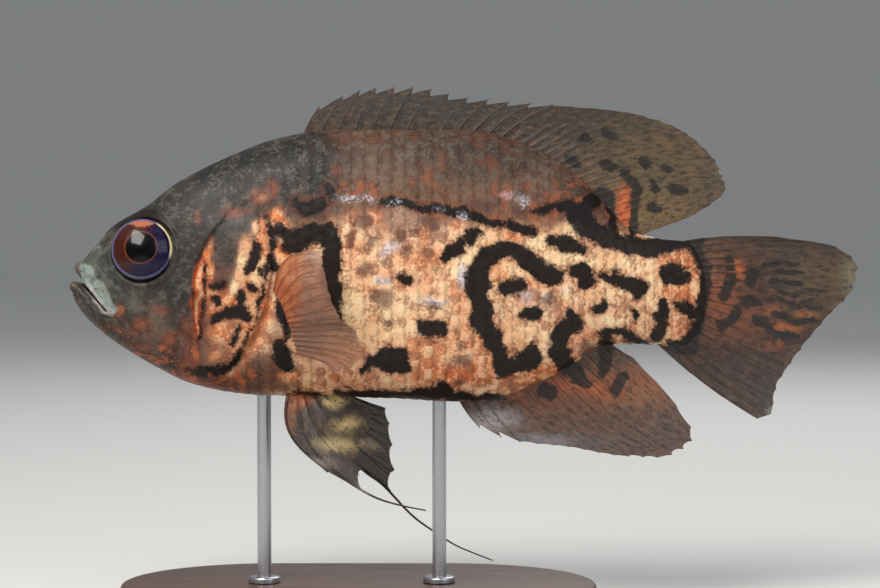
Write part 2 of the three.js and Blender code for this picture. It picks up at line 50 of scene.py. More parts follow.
# The fish's own frame, in millimetres: along is measured back from the jaw tip, and FISH_HEIGHT is how
# far the zero of its heights lies above the underside of the base
JAW_TIP_X = -82
FISH_HEIGHT = 16.6
BODY_LENGTH = 181.5
TAIL_BEND_START = 105
TAIL_BEND = 4
BACK_LINE = [
    (0, 77), (2.1, 81.5), (7.7, 88.1), (12, 93.2), (21.4, 98.8), (31.1, 106), (45.9, 113.4),
    (58.4, 118.1), (73.5, 120.6), (112, 120.6), (124, 118.6), (133.4, 114.8), (144.8, 107),
    (153.3, 98.4), (161, 91.4), (168, 89.9), (181.5, 88.6),
]
BELLY_LINE = [
    (0, 75.5), (1.5, 71.6), (4, 68.1), (8.5, 63.6), (14.8, 59), (26.2, 52.3), (33.6, 48.8),
    (42.3, 46.6), (55, 45.2), (76.4, 44.8), (95, 44.2), (110.3, 43.3), (122, 44.8), (133.4, 48.8),
    (143.4, 54.4), (151.9, 59.6), (161.9, 59.8), (181.5, 58.8),
]
HALF_WIDTH = [
    (0, 2.4), (1, 4.2), (2.1, 5.6), (4, 7.4), (8, 9.2), (14, 10.8), (22, 12.6), (31, 14.8),
    (42, 16.8), (52, 17.8), (62, 18.2), (76, 18), (95, 17), (112, 15), (133, 11.2), (153, 7.6),
    (161, 6), (170, 3.7), (181.5, 0.8),
]
FULLNESS_ABOVE = [(0, 0.86), (10, 0.74), (20, 0.64), (34, 0.7), (60, 0.86), (181.5, 0.86)]
FULLNESS_BELOW = 0.86
WIDEST_HEIGHT = 0.46
SNOUT_ROUNDING = 1.8
TAIL_ROUNDING = 7

# The head's edges, as along and height, and how far its forms stand out or lie in
GILL_EDGE = [
    (54.5, 132), (53.6, 104), (53.2, 94.5), (56.2, 89.5), (58, 82.5), (57.2, 75), (54.4, 66.7),
    (50, 59), (44.6, 52.2), (40, 47.6), (38.5, 38),
]
CHEEK_EDGE = [(45, 96), (41.5, 92), (38.6, 87.4), (36.5, 81), (35.9, 73), (36.5, 64), (38, 57), (42, 51)]
LATERAL_LINE = [
    (56, 99), (75, 101.2), (90, 100.2), (110, 96), (132, 91), (146, 84), (153, 77.5), (180, 75),
]
EYE = {"along": 21.9, "height": 86.6, "radius": 9.1, "depth": 4.5, "out": 10.3, "tilt": 12}
NOSTRIL = (7.7, 87.0)
GILL_SPAN = {"belly": 47, "low": 55, "high": 91, "nape": 99}
COVER = {"rise": 1.3, "run": 25, "flat": 1.2, "edge": 0.7}
GILL_GROOVE = {"deep": 0.5, "at": 1.3, "wide": 1.2}
CHEEK = {"rise": 0.8, "run": 7, "edge": 0.8}
CHEEK_GROOVE = {"deep": 0.45, "at": 1.3, "wide": 0.8}
EYE_RIM = {"rise": 0.75, "at": 0.7, "wide": 0.8}
SOCKET = {"deep": 3.2, "floor": 1.6, "edge": 0.2}
NOSTRIL_RIM = {"rise": 0.3, "at": 1.1, "wide": 0.45}
NOSTRIL_HOLE = {"deep": 1.1, "wide": 0.55}
SNOUT_FOLD = {"deep": 0.35, "along": 17, "height": 74.5, "slope": 0.95, "wide": 0.7}
SHOULDER = {"rise": 1.1, "along": 60.5, "height": 66, "long": 4, "tall": 9.5}

# The view from the side: its frame in pixels, millimetres to a pixel, and where the camera stands
VIEW_WIDE, VIEW_TALL = 880, 588
PIXEL = 0.285
CAMERA_DISTANCE = 760
CAMERA_RISE = math.radians(2.0)
VIEW_CENTRE = (23.2, 0, 90.6)
SENSOR = 36


def through(points):
    """Cubic curve through (place, value) pairs, with no overshoot between them."""
    places, values = np.array(points, float).T
    slopes = np.diff(values) / np.diff(places)
    tangents = np.concatenate([slopes[:1], np.zeros(len(slopes) - 1), slopes[-1:]])
    before, after = slopes[:-1], slopes[1:]
    same_way = before * after > 0
    tangents[1:-1][same_way] = (2 * before * after)[same_way] / (before + after)[same_way]

    def at(place):
        place = np.asarray(place, float)
        i = np.clip(np.searchsorted(places, place) - 1, 0, len(places) - 2)
        span = places[i + 1] - places[i]
        t = np.clip((place - places[i]) / span, 0, 1)
        return (
            values[i] * (2 * t**3 - 3 * t**2 + 1) + tangents[i] * span * (t**3 - 2 * t**2 + t)
            + values[i + 1] * (3 * t**2 - 2 * t**3) + tangents[i + 1] * span * (t**3 - t**2)
        )

    return at


back_at, belly_at, half_width_at = through(BACK_LINE), through(BELLY_LINE), through(HALF_WIDTH)
fullness_above_at = through(FULLNESS_ABOVE)
gill_edge_at = through([(height, along) for along, height in reversed(GILL_EDGE)])
cheek_edge_at = through([(height, along) for along, height in reversed(CHEEK_EDGE)])
lateral_line_at = through(LATERAL_LINE)


def smooth(value, low, high):
    """0 below low and 1 above high, with a smooth rise between."""
    t = np.clip((value - low) / (high - low), 0, 1)
    return t * t * (3 - 2 * t)


def bump(distance, width):
    """1 at no distance, falling off on both sides over a width."""
    return np.exp(-((distance / width) ** 2))


def middle_at(along):
    """How far the body's middle has swung to the fish's right."""
    share = np.maximum(0, along - TAIL_BEND_START) / (BODY_LENGTH - TAIL_BEND_START)
    return TAIL_BEND * share**2


def relief(along, height):
    """How far the skin stands off the plain body: gill cover, cheek, eye, nostril, snout and shoulder."""
    span = smooth(height, GILL_SPAN["belly"], GILL_SPAN["low"])
    span = span * (1 - smooth(height, GILL_SPAN["high"], GILL_SPAN["nape"]))
    behind = along - gill_edge_at(height)
    gills = COVER["rise"] * smooth(behind, -COVER["run"], -COVER["flat"])
    gills = gills * (1 - smooth(behind, 0, COVER["edge"]))
    gills = gills - GILL_GROOVE["deep"] * bump(behind - GILL_GROOVE["at"], GILL_GROOVE["wide"])
    fold = along - cheek_edge_at(height)
    cheek = CHEEK["rise"] * smooth(fold, -CHEEK["run"], 0) * (1 - smooth(fold, 0, CHEEK["edge"]))
    cheek = cheek - CHEEK_GROOVE["deep"] * bump(fold - CHEEK_GROOVE["at"], CHEEK_GROOVE["wide"])
    from_eye = np.hypot(along - EYE["along"], height - EYE["height"])
    rim = EYE_RIM["rise"] * bump(from_eye - EYE["radius"] - EYE_RIM["at"], EYE_RIM["wide"])
    floor_edge, wall_top = EYE["radius"] - SOCKET["floor"], EYE["radius"] + SOCKET["edge"]
    socket = -SOCKET["deep"] * (1 - smooth(from_eye, floor_edge, wall_top))
    from_nostril = np.hypot(along - NOSTRIL[0], height - NOSTRIL[1])
    nostril = NOSTRIL_RIM["rise"] * bump(from_nostril - NOSTRIL_RIM["at"], NOSTRIL_RIM["wide"])
    nostril = nostril - NOSTRIL_HOLE["deep"] * bump(from_nostril, NOSTRIL_HOLE["wide"])
    above_fold = (height - SNOUT_FOLD["height"]) - (SNOUT_FOLD["along"] - along) * SNOUT_FOLD["slope"]
    snout_fold = -SNOUT_FOLD["deep"] * bump(above_fold, SNOUT_FOLD["wide"]) * smooth(along, 7, 10)
    snout_fold = snout_fold * (1 - smooth(along, SNOUT_FOLD["along"], 20))
    shoulder = SHOULDER["rise"] * bump(along - SHOULDER["along"], SHOULDER["long"])
    shoulder = shoulder * bump(height - SHOULDER["height"], SHOULDER["tall"])
    return (gills + cheek) * span + rim + socket + nostril + snout_fold + shoulder


def surface(along, turn, lift=0):
    """Point of the skin at a distance from the jaw tip and a turn from the back (0) round the body."""
    along, turn = np.broadcast_arrays(np.asarray(along, float), np.asarray(turn, float))
    snout = np.minimum(1, along / SNOUT_ROUNDING)
    stern = np.minimum(1, (BODY_LENGTH - along) / TAIL_ROUNDING)
    close = np.sqrt(1 - (1 - snout) ** 2) * np.sqrt(1 - (1 - stern) ** 2)
    top, bottom = back_at(along), belly_at(along)
    widest = bottom + (top - bottom) * WIDEST_HEIGHT
    across, up = np.sin(turn), np.cos(turn)
    reach = np.where(up > 0, top - widest, widest - bottom) * close
    height = widest + (reach + lift) * up
    fullness = np.where(up > 0, fullness_above_at(along), FULLNESS_BELOW)
    side = np.sign(across) * np.abs(across) ** fullness
    grown = (relief(along, height) + lift) * np.minimum(1, close * 4)
    half = half_width_at(along) * close + grown
    return np.stack([JAW_TIP_X + along, middle_at(along) + half * side, FISH_HEIGHT + height], -1)


def noise_at(points, size, seed):
    """Smooth value noise from 0 to 1 at points, with cells of a size."""
    cells = np.asarray(points) / size
    corner = np.floor(cells).astype(int)
    share = cells - corner
    share = share * share * (3 - 2 * share)
    total = np.zeros(len(cells))
    for step in np.ndindex(2, 2, 2):
        at = corner + np.array(step)
        mixed = (at[:, 0] * 73856093) ^ (at[:, 1] * 19349663) ^ (at[:, 2] * 83492791) ^ seed
        value = (np.abs(np.sin(mixed % 100003 * 12.9898)) * 43758.5453) % 1
        weight = np.prod(np.where(step, share, 1 - share), axis=1)
        total += value * weight
    return total


# Markings, as places in the side view in pixels of PIXEL millimetres
def ink(red, green, blue):
    """A colour from 0 to 255 as light, 0 to 1."""
    return tuple(((v / 255 + 0.055) / 1.055) ** 2.4 if v > 10 else v / 3295 for v in (red, green, blue))


SLATE, SLATE_GREEN, BACK_BROWN = ink(50, 51, 50), ink(84, 96, 90), ink(66, 54, 47)
CREAM, PEACH, ORANGE = ink(246, 216, 166), ink(222, 166, 128), ink(210, 118, 64)
RUST, MAROON, BELLY_ORANGE = ink(136, 66, 38), ink(54, 38, 34), ink(192, 94, 38)
# The lavender on the next line is laid on as painted highlights.
LAVENDER_HIGHLIGHT, PINK_GREY, UMBER = ink(214, 208, 218), ink(154, 118, 102), ink(98, 70, 54)
# The forehead black on the next line is painted shade.
NAPE_BLACK, FOREHEAD_SHADE, NOSTRIL_SHADE = ink(26, 27, 29), ink(22, 24, 25), ink(16, 15, 15)

SKIN_WASHES = [  # colour, x, y, half width, half height, strength
    (BACK_BROWN, 470, 150, 204, 74, 1), (BACK_BROWN, 600, 196, 64, 44, 1),
    (UMBER, 400, 200, 90, 22, 0.8), (PINK_GREY, 420, 224, 70, 18, 0.65), (UMBER, 520, 208, 60, 18, 0.7),
    (SLATE, 235, 165, 110, 66, 1), (SLATE, 150, 220, 85, 80, 1), (SLATE, 186, 290, 50, 95, 1),
    (SLATE, 105, 290, 70, 80, 1), (NAPE_BLACK, 306, 170, 37, 58, 1), (SLATE, 308, 204, 28, 16, 0.9),
    # Painted shade: the near-black wash over the forehead darkens the top of the head beyond its slate.
    (FOREHEAD_SHADE, 246, 150, 104, 58, 0.9), (LAVENDER_HIGHLIGHT, 97, 248.5, 3.2, 2.6, 0.7),
    # Painted light at the nostril: the small lavender spot on the line above is a painted highlight on its
    # rim, and the near-black spot here is painted shade in its pit.
    (NOSTRIL_SHADE, 98, 250, 1.8, 1.6, 1), (SLATE_GREEN, 98, 264, 18, 22, 0.55),
    (SLATE_GREEN, 128, 308, 16, 12, 0.35),
    (MAROON, 100, 345, 50, 30, 1), (MAROON, 150, 366, 56, 26, 1), (MAROON, 205, 382, 50, 18, 1),
    (MAROON, 184, 345, 22, 34, 0.8), (RUST, 192, 345, 12, 36, 0.5), (RUST, 118, 309, 6, 8, 1),
    (RUST, 141, 325, 11, 5, 0.9), (RUST, 170, 336, 8, 7, 0.8), (RUST, 162, 310, 10, 5, 0.5),
    (RUST, 140, 350, 12, 4, 0.6), (RUST, 187, 367, 6, 7, 0.7), (RUST, 198, 362, 5, 12, 0.8),
    (RUST, 222, 300, 20, 50, 0.85), (RUST, 232, 348, 22, 18, 0.8), (SLATE, 224, 256, 14, 26, 0.85),
    (SLATE, 221, 284, 8, 8, 0.8), (MAROON, 236, 386, 60, 11, 0.75), (UMBER, 272, 374, 34, 18, 0.55),
    (SLATE, 232, 220, 26, 24, 1), (SLATE, 252, 212, 20, 14, 0.85), (SLATE, 214, 214, 22, 26, 0.9),
    (ORANGE, 209, 262, 5, 20, 0.85), (ORANGE, 205, 292, 5, 12, 0.6), (ORANGE, 215, 301, 11, 10, 0.6),
    (ORANGE, 229, 301, 6, 6, 0.9), (ORANGE, 220, 333, 11, 9, 0.8), (ORANGE, 217, 357, 5, 5, 0.8),
    (ORANGE, 214, 314, 8, 4, 0.7), (ORANGE, 252, 302, 9, 34, 1), (ORANGE, 246, 325, 7, 16, 1),
    (ORANGE, 238, 350, 7, 9, 0.9), (ORANGE, 262, 246, 8, 24, 1), (PEACH, 257, 229, 6, 7, 0.9),
    (CREAM, 262, 263, 6, 9, 0.85), (CREAM, 257, 280, 7, 12, 0.85), (CREAM, 252, 307, 6, 12, 0.7),
    (PEACH, 245, 247, 7, 10, 1), (CREAM, 243, 260, 6, 9, 0.9), (PEACH, 239, 273, 6, 9, 0.9),
    (CREAM, 234, 287, 5, 8, 0.8), (RUST, 282, 330, 26, 60, 0.55), (PINK_GREY, 278, 320, 10, 26, 0.7),
    (ORANGE, 264, 304, 5, 20, 0.9), (ORANGE, 257, 333, 6, 18, 0.9), (ORANGE, 246, 352, 8, 12, 0.9),
    (ORANGE, 232, 372, 10, 8, 0.6), (UMBER, 266, 370, 30, 20, 0.9), (RUST, 200, 383, 40, 8, 0.5),
    (ORANGE, 277, 218, 11, 9, 0.95), (ORANGE, 281, 227, 7, 6, 0.9), (RUST, 260, 198, 10, 9, 0.95),
    (RUST, 272, 188, 7, 9, 0.6), (RUST, 234, 212, 17, 6, 0.65), (RUST, 199, 218, 4, 8, 0.8),
    (ORANGE, 285, 251, 9, 7, 1), (ORANGE, 289, 377, 9, 6, 0.95), (ORANGE, 314, 386, 14, 6, 0.8),
    (CREAM, 350, 296, 12, 34, 0.65), (CREAM, 375, 333, 34, 11, 0.95), (CREAM, 382, 287, 14, 8, 0.8),
    (CREAM, 410, 310, 50, 16, 0.55), (CREAM, 470, 256, 12, 12, 0.9), (CREAM, 458, 268, 9, 10, 0.8),
    (CREAM, 486, 238, 14, 8, 0.95), (ORANGE, 515, 236, 18, 6, 0.8), (CREAM, 540, 241, 14, 8, 1),
    (CREAM, 562, 258, 22, 8, 1), (CREAM, 590, 262, 22, 7, 0.95), (CREAM, 573, 232, 14, 9, 0.9),
    (CREAM, 625, 264, 26, 7, 0.9), (CREAM, 564, 290, 12, 9, 0.9), (CREAM, 515, 270, 20, 7, 0.7),
    (ORANGE, 500, 275, 12, 8, 0.6), (CREAM, 525, 336, 16, 14, 0.8), (CREAM, 600, 296, 26, 9, 0.55),
    (CREAM, 655, 290, 10, 16, 0.7), (CREAM, 606, 322, 26, 6, 0.7), (CREAM, 645, 324, 8, 12, 0.6),
    # The lavender spots on this and the next two lines are painted highlights on the flank.
    (PINK_GREY, 549, 303, 12, 14, 0.7), (LAVENDER_HIGHLIGHT, 393, 247, 8, 5, 0.7),
    (LAVENDER_HIGHLIGHT, 387, 254, 5, 6, 0.6), (LAVENDER_HIGHLIGHT, 386, 282, 10, 4, 0.7),
    (LAVENDER_HIGHLIGHT, 463, 276, 5, 14, 0.9), (LAVENDER_HIGHLIGHT, 436, 300, 14, 3, 0.9), (LAVENDER_HIGHLIGHT, 526, 294, 8, 8, 0.6),
    (PINK_GREY, 400, 215, 50, 8, 0.5), (ORANGE, 350, 232, 8, 26, 0.5), (ORANGE, 375, 216, 9, 8, 0.6),
    (ORANGE, 422, 234, 9, 8, 0.6), (ORANGE, 455, 230, 9, 7, 0.5), (ORANGE, 418, 262, 14, 8, 0.6),
    (ORANGE, 440, 350, 70, 16, 0.7), (BELLY_ORANGE, 460, 374, 50, 12, 1),
    (BELLY_ORANGE, 350, 376, 30, 8, 0.7),
    (BELLY_ORANGE, 545, 376, 60, 13, 1), (ORANGE, 680, 280, 26, 40, 0.95), (PEACH, 650, 318, 26, 14, 0.5),
    (ORANGE, 585, 330, 16, 12, 0.6), (RUST, 700, 330, 30, 26, 0.8), (UMBER, 640, 352, 40, 10, 0.7),
    (RUST, 592, 362, 18, 22, 0.6), (UMBER, 690, 246, 40, 8, 0.9), (RUST, 560, 392, 60, 8, 0.8),
]
BLACK_STROKES = [  # the places each runs through: x, y and half width
    ((564, 272, 2), (551, 276, 11), (537, 264, 10.5), (522, 252, 9), (503, 250, 9), (487, 256, 11),
     (477, 271, 11.5), (478, 290, 13), (482, 307, 11.5), (483, 322, 10), (494, 342, 12), (501, 359, 9.5),
     (501, 372, 7), (515, 364, 9), (532, 357, 11.5), (542, 359, 5)),
    ((503, 290, 6.5), (513, 288, 8), (522, 282, 6)), ((524, 313, 5.5), (530, 313, 7), (537, 312, 5.5)),
    ((572, 272, 4), (583, 272, 9.5), (588, 281, 8.5)),
    ((603, 276, 4.5), (620, 277, 7.5), (632, 284, 9.5), (641, 288, 9), (637, 296, 5.5)),
    ((599, 311, 6), (607, 306, 5.5)), ((633, 312, 3.6), (634, 319, 3.6)),
    ((671, 274, 11.5), (678, 276, 11.5)),
    ((553, 240, 4.5), (564, 243, 8), (574, 247, 6.5), (584, 251, 3.5)),
    ((568, 311, 4), (572, 322, 10), (581, 323, 3)),
    ((570, 320, 8), (562, 331, 8), (560, 347, 8.5), (566, 364, 8.5), (576, 376, 9.5), (585, 382, 6)),
    ((603, 332, 5.5), (616, 332, 4.5), (633, 338, 5), (649, 347, 5.5), (668, 360, 5)),
    ((604, 336, 6), (605, 346, 7), (603, 364, 6), (602, 376, 4)), ((624, 378, 6.5), (616, 391, 6)),
    ((662, 307, 7.5), (659, 322, 7), (660, 336, 6)), ((672, 343, 4), (680, 346, 6), (693, 346, 7)),
    ((690, 244, 5), (699, 256, 7.5), (706, 270, 7), (706, 286, 6.5), (703, 302, 6.5), (701, 319, 6),
     (697, 331, 6.5), (686, 345, 6)),
    ((680, 306, 4.5), (691, 313, 6), (700, 316, 5)), ((734, 260, 4.5), (731, 278, 6.5), (727, 294, 7)),
    ((736, 309, 5.5), (730, 318, 5), (722, 324, 7)), ((751, 272, 6), (749, 281, 5)),
    ((747, 301, 6), (756, 300, 5)), ((754, 316, 3.5), (762, 321, 5.5), (771, 331, 4.5)),
    ((774, 313, 3), (786, 317, 3.5)), ((780, 336, 4), (796, 338, 4.5)), ((796, 323, 3), (812, 319, 3)),
    ((764, 264, 3), (797, 264, 2.2)), ((774, 273, 2.6), (800, 273, 2)), ((768, 283, 2.6), (801, 283, 2)),
    ((776, 292, 2), (826, 293, 1.5)), ((770, 300, 2.6), (812, 303, 2)), ((790, 306, 2), (822, 311, 1.6)),
    ((445, 256, 7), (450, 251, 9), (456, 247, 6)), ((468, 239, 6.5), (477, 234, 3.5)),
    ((424, 328, 7.5), (432, 330, 9.5), (439, 328, 7.5)), ((404, 278, 5), (411, 279, 5)),
    ((362, 368, 3), (374, 362, 8), (386, 359, 11), (400, 360, 11), (407, 368, 6.5), (388, 367, 7)),
    ((383, 201, 3.5), (410, 205, 4.5), (438, 209, 5), (455, 212, 5.5), (475, 217, 4.5), (492, 223, 4.5),
     (513, 225, 3.5), (534, 230, 5)),
    ((534, 211, 3), (553, 208, 5), (568, 208, 8), (582, 219, 12), (593, 234, 9), (610, 241, 9),
     (630, 246, 9), (647, 247, 9.5), (664, 243, 10), (683, 240, 10), (698, 240, 9)),
    ((600, 196, 7), (588, 208, 9)), ((611, 196, 5.5), (614, 236, 5)),
    ((622, 168, 3.5), (634, 190, 5), (636, 212, 4.8), (632, 238, 4.5)),
    ((280, 230, 6), (291, 236, 9), (304, 235, 11), (323, 235, 12), (331, 244, 9), (333, 260, 10),
     (335, 280, 8.5), (336, 295, 7), (339, 310, 4), (341, 321, 2)),
    ((291, 246, 6), (301, 250, 4)), ((275, 258, 4), (276, 265, 5.5)),
    ((275, 298, 3.5), (281, 310, 7), (288, 329, 4.5), (289, 340, 2.5)), ((281, 352, 9), (287, 364, 7)),
    ((296, 203, 5), (306, 208, 7), (322, 204, 5)), ((327, 188, 4), (330, 198, 5)),
    ((254, 241, 3), (258, 249, 5.5), (253, 262, 5.5), (248, 270, 3.5)), ((263, 270, 2.4), (264, 272, 2.6)),
    ((246, 284, 2.5), (252, 287, 5.5)), ((215, 301, 6), (216, 302, 6)), ((215, 287, 4), (221, 286, 4)),
    ((241, 294, 4), (240, 304, 5.5), (239, 313, 8), (225, 318, 5), (215, 322, 4)),
    ((239, 313, 7), (247, 319, 4)), ((239, 330, 2.5), (235, 344, 3.5)),
    ((264, 218, 2), (272, 228, 3), (276, 241, 3), (273, 260, 3), (268, 275, 2.4), (260, 293, 2),
     (256, 312, 1.8), (251, 330, 1.8), (244, 347, 2.4), (233, 362, 4), (221, 371, 5), (207, 374, 4.5),
     (190, 372, 2)),
    ((205, 258, 1), (203, 278, 1.8), (202, 295, 1.8), (202, 318, 1.6), (201, 341, 1.6)),
    ((338, 392, 4), (360, 395, 6), (400, 397, 7), (430, 396, 7), (442, 389, 7), (455, 396, 7),
     (480, 399, 5), (505, 398, 3)),
    ((300, 392, 4), (318, 396, 4)), ((640, 160, 4), (648, 165, 5)), ((664, 168, 4), (670, 170, 4)),
    ((568, 160, 5), (575, 164, 5)), ((604, 162, 6), (611, 165, 5)), ((652, 184, 4), (654, 192, 4)),
    ((673, 189, 5), (684, 191, 4)), ((652, 208, 5), (658, 211, 4)), ((584, 139, 5), (588, 141, 4)),
    ((608, 132, 5), (615, 135, 4)), ((543, 389, 8), (551, 391, 8)),
]
BROWN_SMUDGES = [  # x, y, half width, half height
    (367, 272, 8, 9), (383, 300, 14, 10), (408, 254, 5, 7), (429, 224, 12, 9), (362, 222, 13, 8),
    (436, 305, 6, 5), (387, 323, 8, 5), (459, 359, 9, 7), (503, 313, 3.5, 8), (350, 240, 6, 10),
    (388, 264, 6, 6), (586, 349, 9, 10), (550, 299, 8, 8), (455, 330, 6, 5), (480, 205, 14, 7),
    (400, 238, 8, 8), (520, 212, 14, 7), (345, 285, 5, 8), (437, 271, 6, 5), (425, 253, 5, 6),
    (460, 380, 7, 5), (370, 243, 7, 8), (412, 232, 7, 6), (540, 392, 18, 12), (462, 344, 6, 5),
    (560, 398, 30, 8),
]
SHIFT_LAYERS = ((24, 3), (24, 8), (6, 5), (6, 6), (2.4, 9), (2.4, 10))  # cell in millimetres, and seed
MOVED_ALONG, MOVED_UP, WAVER, RIPPLE = 42, 30, 7, 5
FAR_OFF = 1e9
FARTHEST_KEPT = 9


def seen_at(points, mirrored):
    """Where the side view shows points, in its pixels; mirrored ones as if seen from the other side."""
    x, y, z = np.asarray(points).T
    y = np.where(mirrored, 2 * middle_at(x - JAW_TIP_X) - y, y)
    rise_cos, rise_sin = math.cos(CAMERA_RISE), math.sin(CAMERA_RISE)
    x, y, z = x - VIEW_CENTRE[0], y - VIEW_CENTRE[1], z - VIEW_CENTRE[2]
    depth = CAMERA_DISTANCE + y * rise_cos - z * rise_sin
    upward = z * rise_cos + y * rise_sin
    zoom = CAMERA_DISTANCE / depth / PIXEL
    return VIEW_WIDE / 2 + x * zoom, VIEW_TALL / 2 - upward * zoom


def to_stroke(px, py, places):
    """Distance from points to the edge of a stroke whose half width changes on the way, in pixels."""
    nearest = np.full(len(px), FAR_OFF)
    for (ax, ay, a_half), (bx, by, b_half) in zip(places[:-1], places[1:]):
        run = (bx - ax) ** 2 + (by - ay) ** 2
        t = np.clip(((px - ax) * (bx - ax) + (py - ay) * (by - ay)) / run, 0, 1)
        away = np.hypot(px - ax - t * (bx - ax), py - ay - t * (by - ay))
        nearest = np.minimum(nearest, away - a_half - t * (b_half - a_half))
    return nearest


def to_spot(px, py, spot):
    """Distance from points to the edge of an oval, in pixels."""
    x, y, wide, tall = spot
    return (np.hypot((px - x) / wide, (py - y) / tall) - 1) * min(wide, tall)


def washed(px, py, ground, washes):
    """A ground colour with soft oval washes laid over it in turn."""
    colour = np.tile(np.array(ground, float), (len(px), 1))
    for tint, x, y, wide, tall, strength in washes:
        share = strength * np.exp(-(np.hypot((px - x) / wide, (py - y) / tall) ** 3))
        colour += (np.array(tint) - colour) * share[:, None]
    return colour


def markings(points, mirrored):
    """Place in the side view, wash colour and distances to black and brown, for points in millimetres.

    Small shifts waver the edges; on the fish's right side, large ones move whole markings as well.
    """
    px, py = seen_at(points, mirrored)
    shift = [noise_at(points, size, seed) - 0.5 for size, seed in SHIFT_LAYERS]
    px = px + np.where(mirrored, MOVED_ALONG * shift[0], 0) + WAVER * shift[2] + RIPPLE * shift[4]
    py = py + np.where(mirrored, MOVED_UP * shift[1], 0) + WAVER * shift[3] + RIPPLE * shift[5]
    black = np.full(len(px), FAR_OFF)
    for places in BLACK_STROKES:
        black = np.minimum(black, to_stroke(px, py, places))
    brown = np.full(len(px), FAR_OFF)
    for spot in BROWN_SMUDGES:
        brown = np.minimum(brown, to_spot(px, py, spot))
    return px, py, washed(px, py, PEACH, SKIN_WASHES), black * PIXEL, brown * PIXEL


def mesh_from(name, points, faces):
    """A mesh from points in millimetres."""
    mesh = bpy.data.meshes.new(name)
    mesh.from_pydata((np.asarray(points) * MM).tolist(), [], faces)
    mesh.update()
    return mesh


def object_from(name, mesh, material=None):
    """A smooth-shaded object in the scene, with its material."""
    made = bpy.data.objects.new(name, mesh)
    bpy.context.scene.collection.objects.link(made)
    if material:
        mesh.materials.clear()
        mesh.materials.append(material)
    for polygon in mesh.polygons:
        polygon.use_smooth = True
    return made


def points_of(mesh):
    """A mesh's points in millimetres."""
    flat = np.empty(len(mesh.vertices) * 3)
    mesh.vertices.foreach_get("co", flat)
    return flat.reshape(-1, 3) / MM


def give(mesh, name, values, kind="FLOAT"):
    """Stores a value for each vertex under a name."""
    values = np.asarray(values, np.float32)
    made = mesh.attributes.new(name, kind, "POINT")
    if kind == "FLOAT_COLOR":
        values = np.concatenate([values, np.ones((len(values), 1), np.float32)], axis=1)
    made.data.foreach_set({"FLOAT": "value", "FLOAT_COLOR": "color", "FLOAT_VECTOR": "vector"}[kind],
                          values.ravel())


def ring_faces(rings, sides):
    """Faces between rings of points that follow each other, each ring closed."""
    faces = []
    for i in range(rings - 1):
        for j in range(sides):
            k = (j + 1) % sides
            faces.append((i * sides + j, i * sides + k, (i + 1) * sides + k, (i + 1) * sides + j))
    return faces


def pointed_ends(rings, sides):
    """Fans that close the first and last ring, on two points that come after all the rings'."""
    first, last = rings * sides, (rings - 1) * sides
    faces = []
    for j in range(sides):
        k = (j + 1) % sides
        faces.append((first, k, j))
        faces.append((first + 1, last + j, last + k))
    return faces


def flat_ends(rings, sides):
    """One flat face in the first ring, and one in the last."""
    return [tuple(range(sides)), tuple((rings - 1) * sides + j for j in range(sides))]


def settled(made):
    """The object's shape with its modifiers, as a plain mesh."""
    graph = bpy.context.evaluated_depsgraph_get()
    graph.update()
    mesh = bpy.data.meshes.new_from_object(made.evaluated_get(graph))
    bpy.data.objects.remove(made)
    return mesh


# Shader maths
class Link:
    """A shader value that takes part in sums."""

    def __init__(self, looks, socket):
        self.looks, self.socket = looks, socket

    def _with(self, operation, first, second):
        return self.looks.add("Math", {"operation": operation}, first, second)

    def __add__(self, other):
        return self._with("ADD", self, other)

    def __sub__(self, other):
        return self._with("SUBTRACT", self, other)

    def __rsub__(self, other):
        return self._with("SUBTRACT", other, self)

    def __mul__(self, other):
        return self._with("MULTIPLY", self, other)

    __radd__, __rmul__ = __add__, __mul__

    def __truediv__(self, other):
        return self._with("DIVIDE", self, other)

    def __pow__(self, other):
        return self._with("POWER", self, other)


class Looks:
    """A material and the nodes that give it its surface."""

    def __init__(self, name, **fixed):
        self.material = bpy.data.materials.new(name)
        self.material.use_nodes = True
        self.tree = self.material.node_tree
        self.surface = self.tree.nodes["Principled BSDF"]
        for socket, value in fixed.items():
            self.surface.inputs[socket.replace("_", " ")].default_value = value

    def add(self, kind, settings=None, *inputs, out=0, **named):
        """A node of a kind, with its settings and the values or links of its inputs."""
        node = self.tree.nodes.new("ShaderNode" + kind)
        for key, value in (settings or {}).items():
            setattr(node, key, value)
        for key, value in list(enumerate(inputs)) + [(k.replace("_", " "), v) for k, v in named.items()]:
            if isinstance(value, Link):
                self.tree.links.new(value.socket, node.inputs[key])
            else:
                node.inputs[key].default_value = value
        return Link(self, node.outputs[out])

    def place(self):
        return self.add("TexCoord", out="Object")

    def attribute(self, name, out="Fac"):
        """A value that the mesh carries at its points."""
        return self.add("Attribute", {"attribute_name": name}, out=out)

    def noise(self, place, scale, detail=2.0, roughness=0.5):
        return self.add("TexNoise", None, Vector=place, Scale=scale, Detail=detail, Roughness=roughness)

    def step(self, value, low, high):
        """0 below low and 1 above high, with a smooth rise between."""
        span = {"interpolation_type": "SMOOTHSTEP"}
        return self.add("MapRange", span, Value=value, From_Min=low, From_Max=high, To_Min=0.0, To_Max=1.0)

    def mix(self, share, first, second):
        """The first colour going over to the second by a share."""
        node = self.tree.nodes.new("ShaderNodeMix")
        node.data_type, node.clamp_factor = "RGBA", True
        for index, value in ((0, share), (6, first), (7, second)):
            if isinstance(value, Link):
                self.tree.links.new(value.socket, node.inputs[index])
            else:
                node.inputs[index].default_value = value if index == 0 else (*value, 1.0)
        return Link(self, node.outputs[2])

    def bumps(self, height, strength, distance, under=None):
        named = {"Strength": strength, "Distance": distance, "Height": height}
        if under:
            named["Normal"] = under
        return self.add("Bump", None, **named)

    def wear(self, **sockets):
        """Joins values to the surface, and gives the finished material."""
        for name, value in sockets.items():
            self.tree.links.new(value.socket, self.surface.inputs[name.replace("_", " ")])
        return self.material


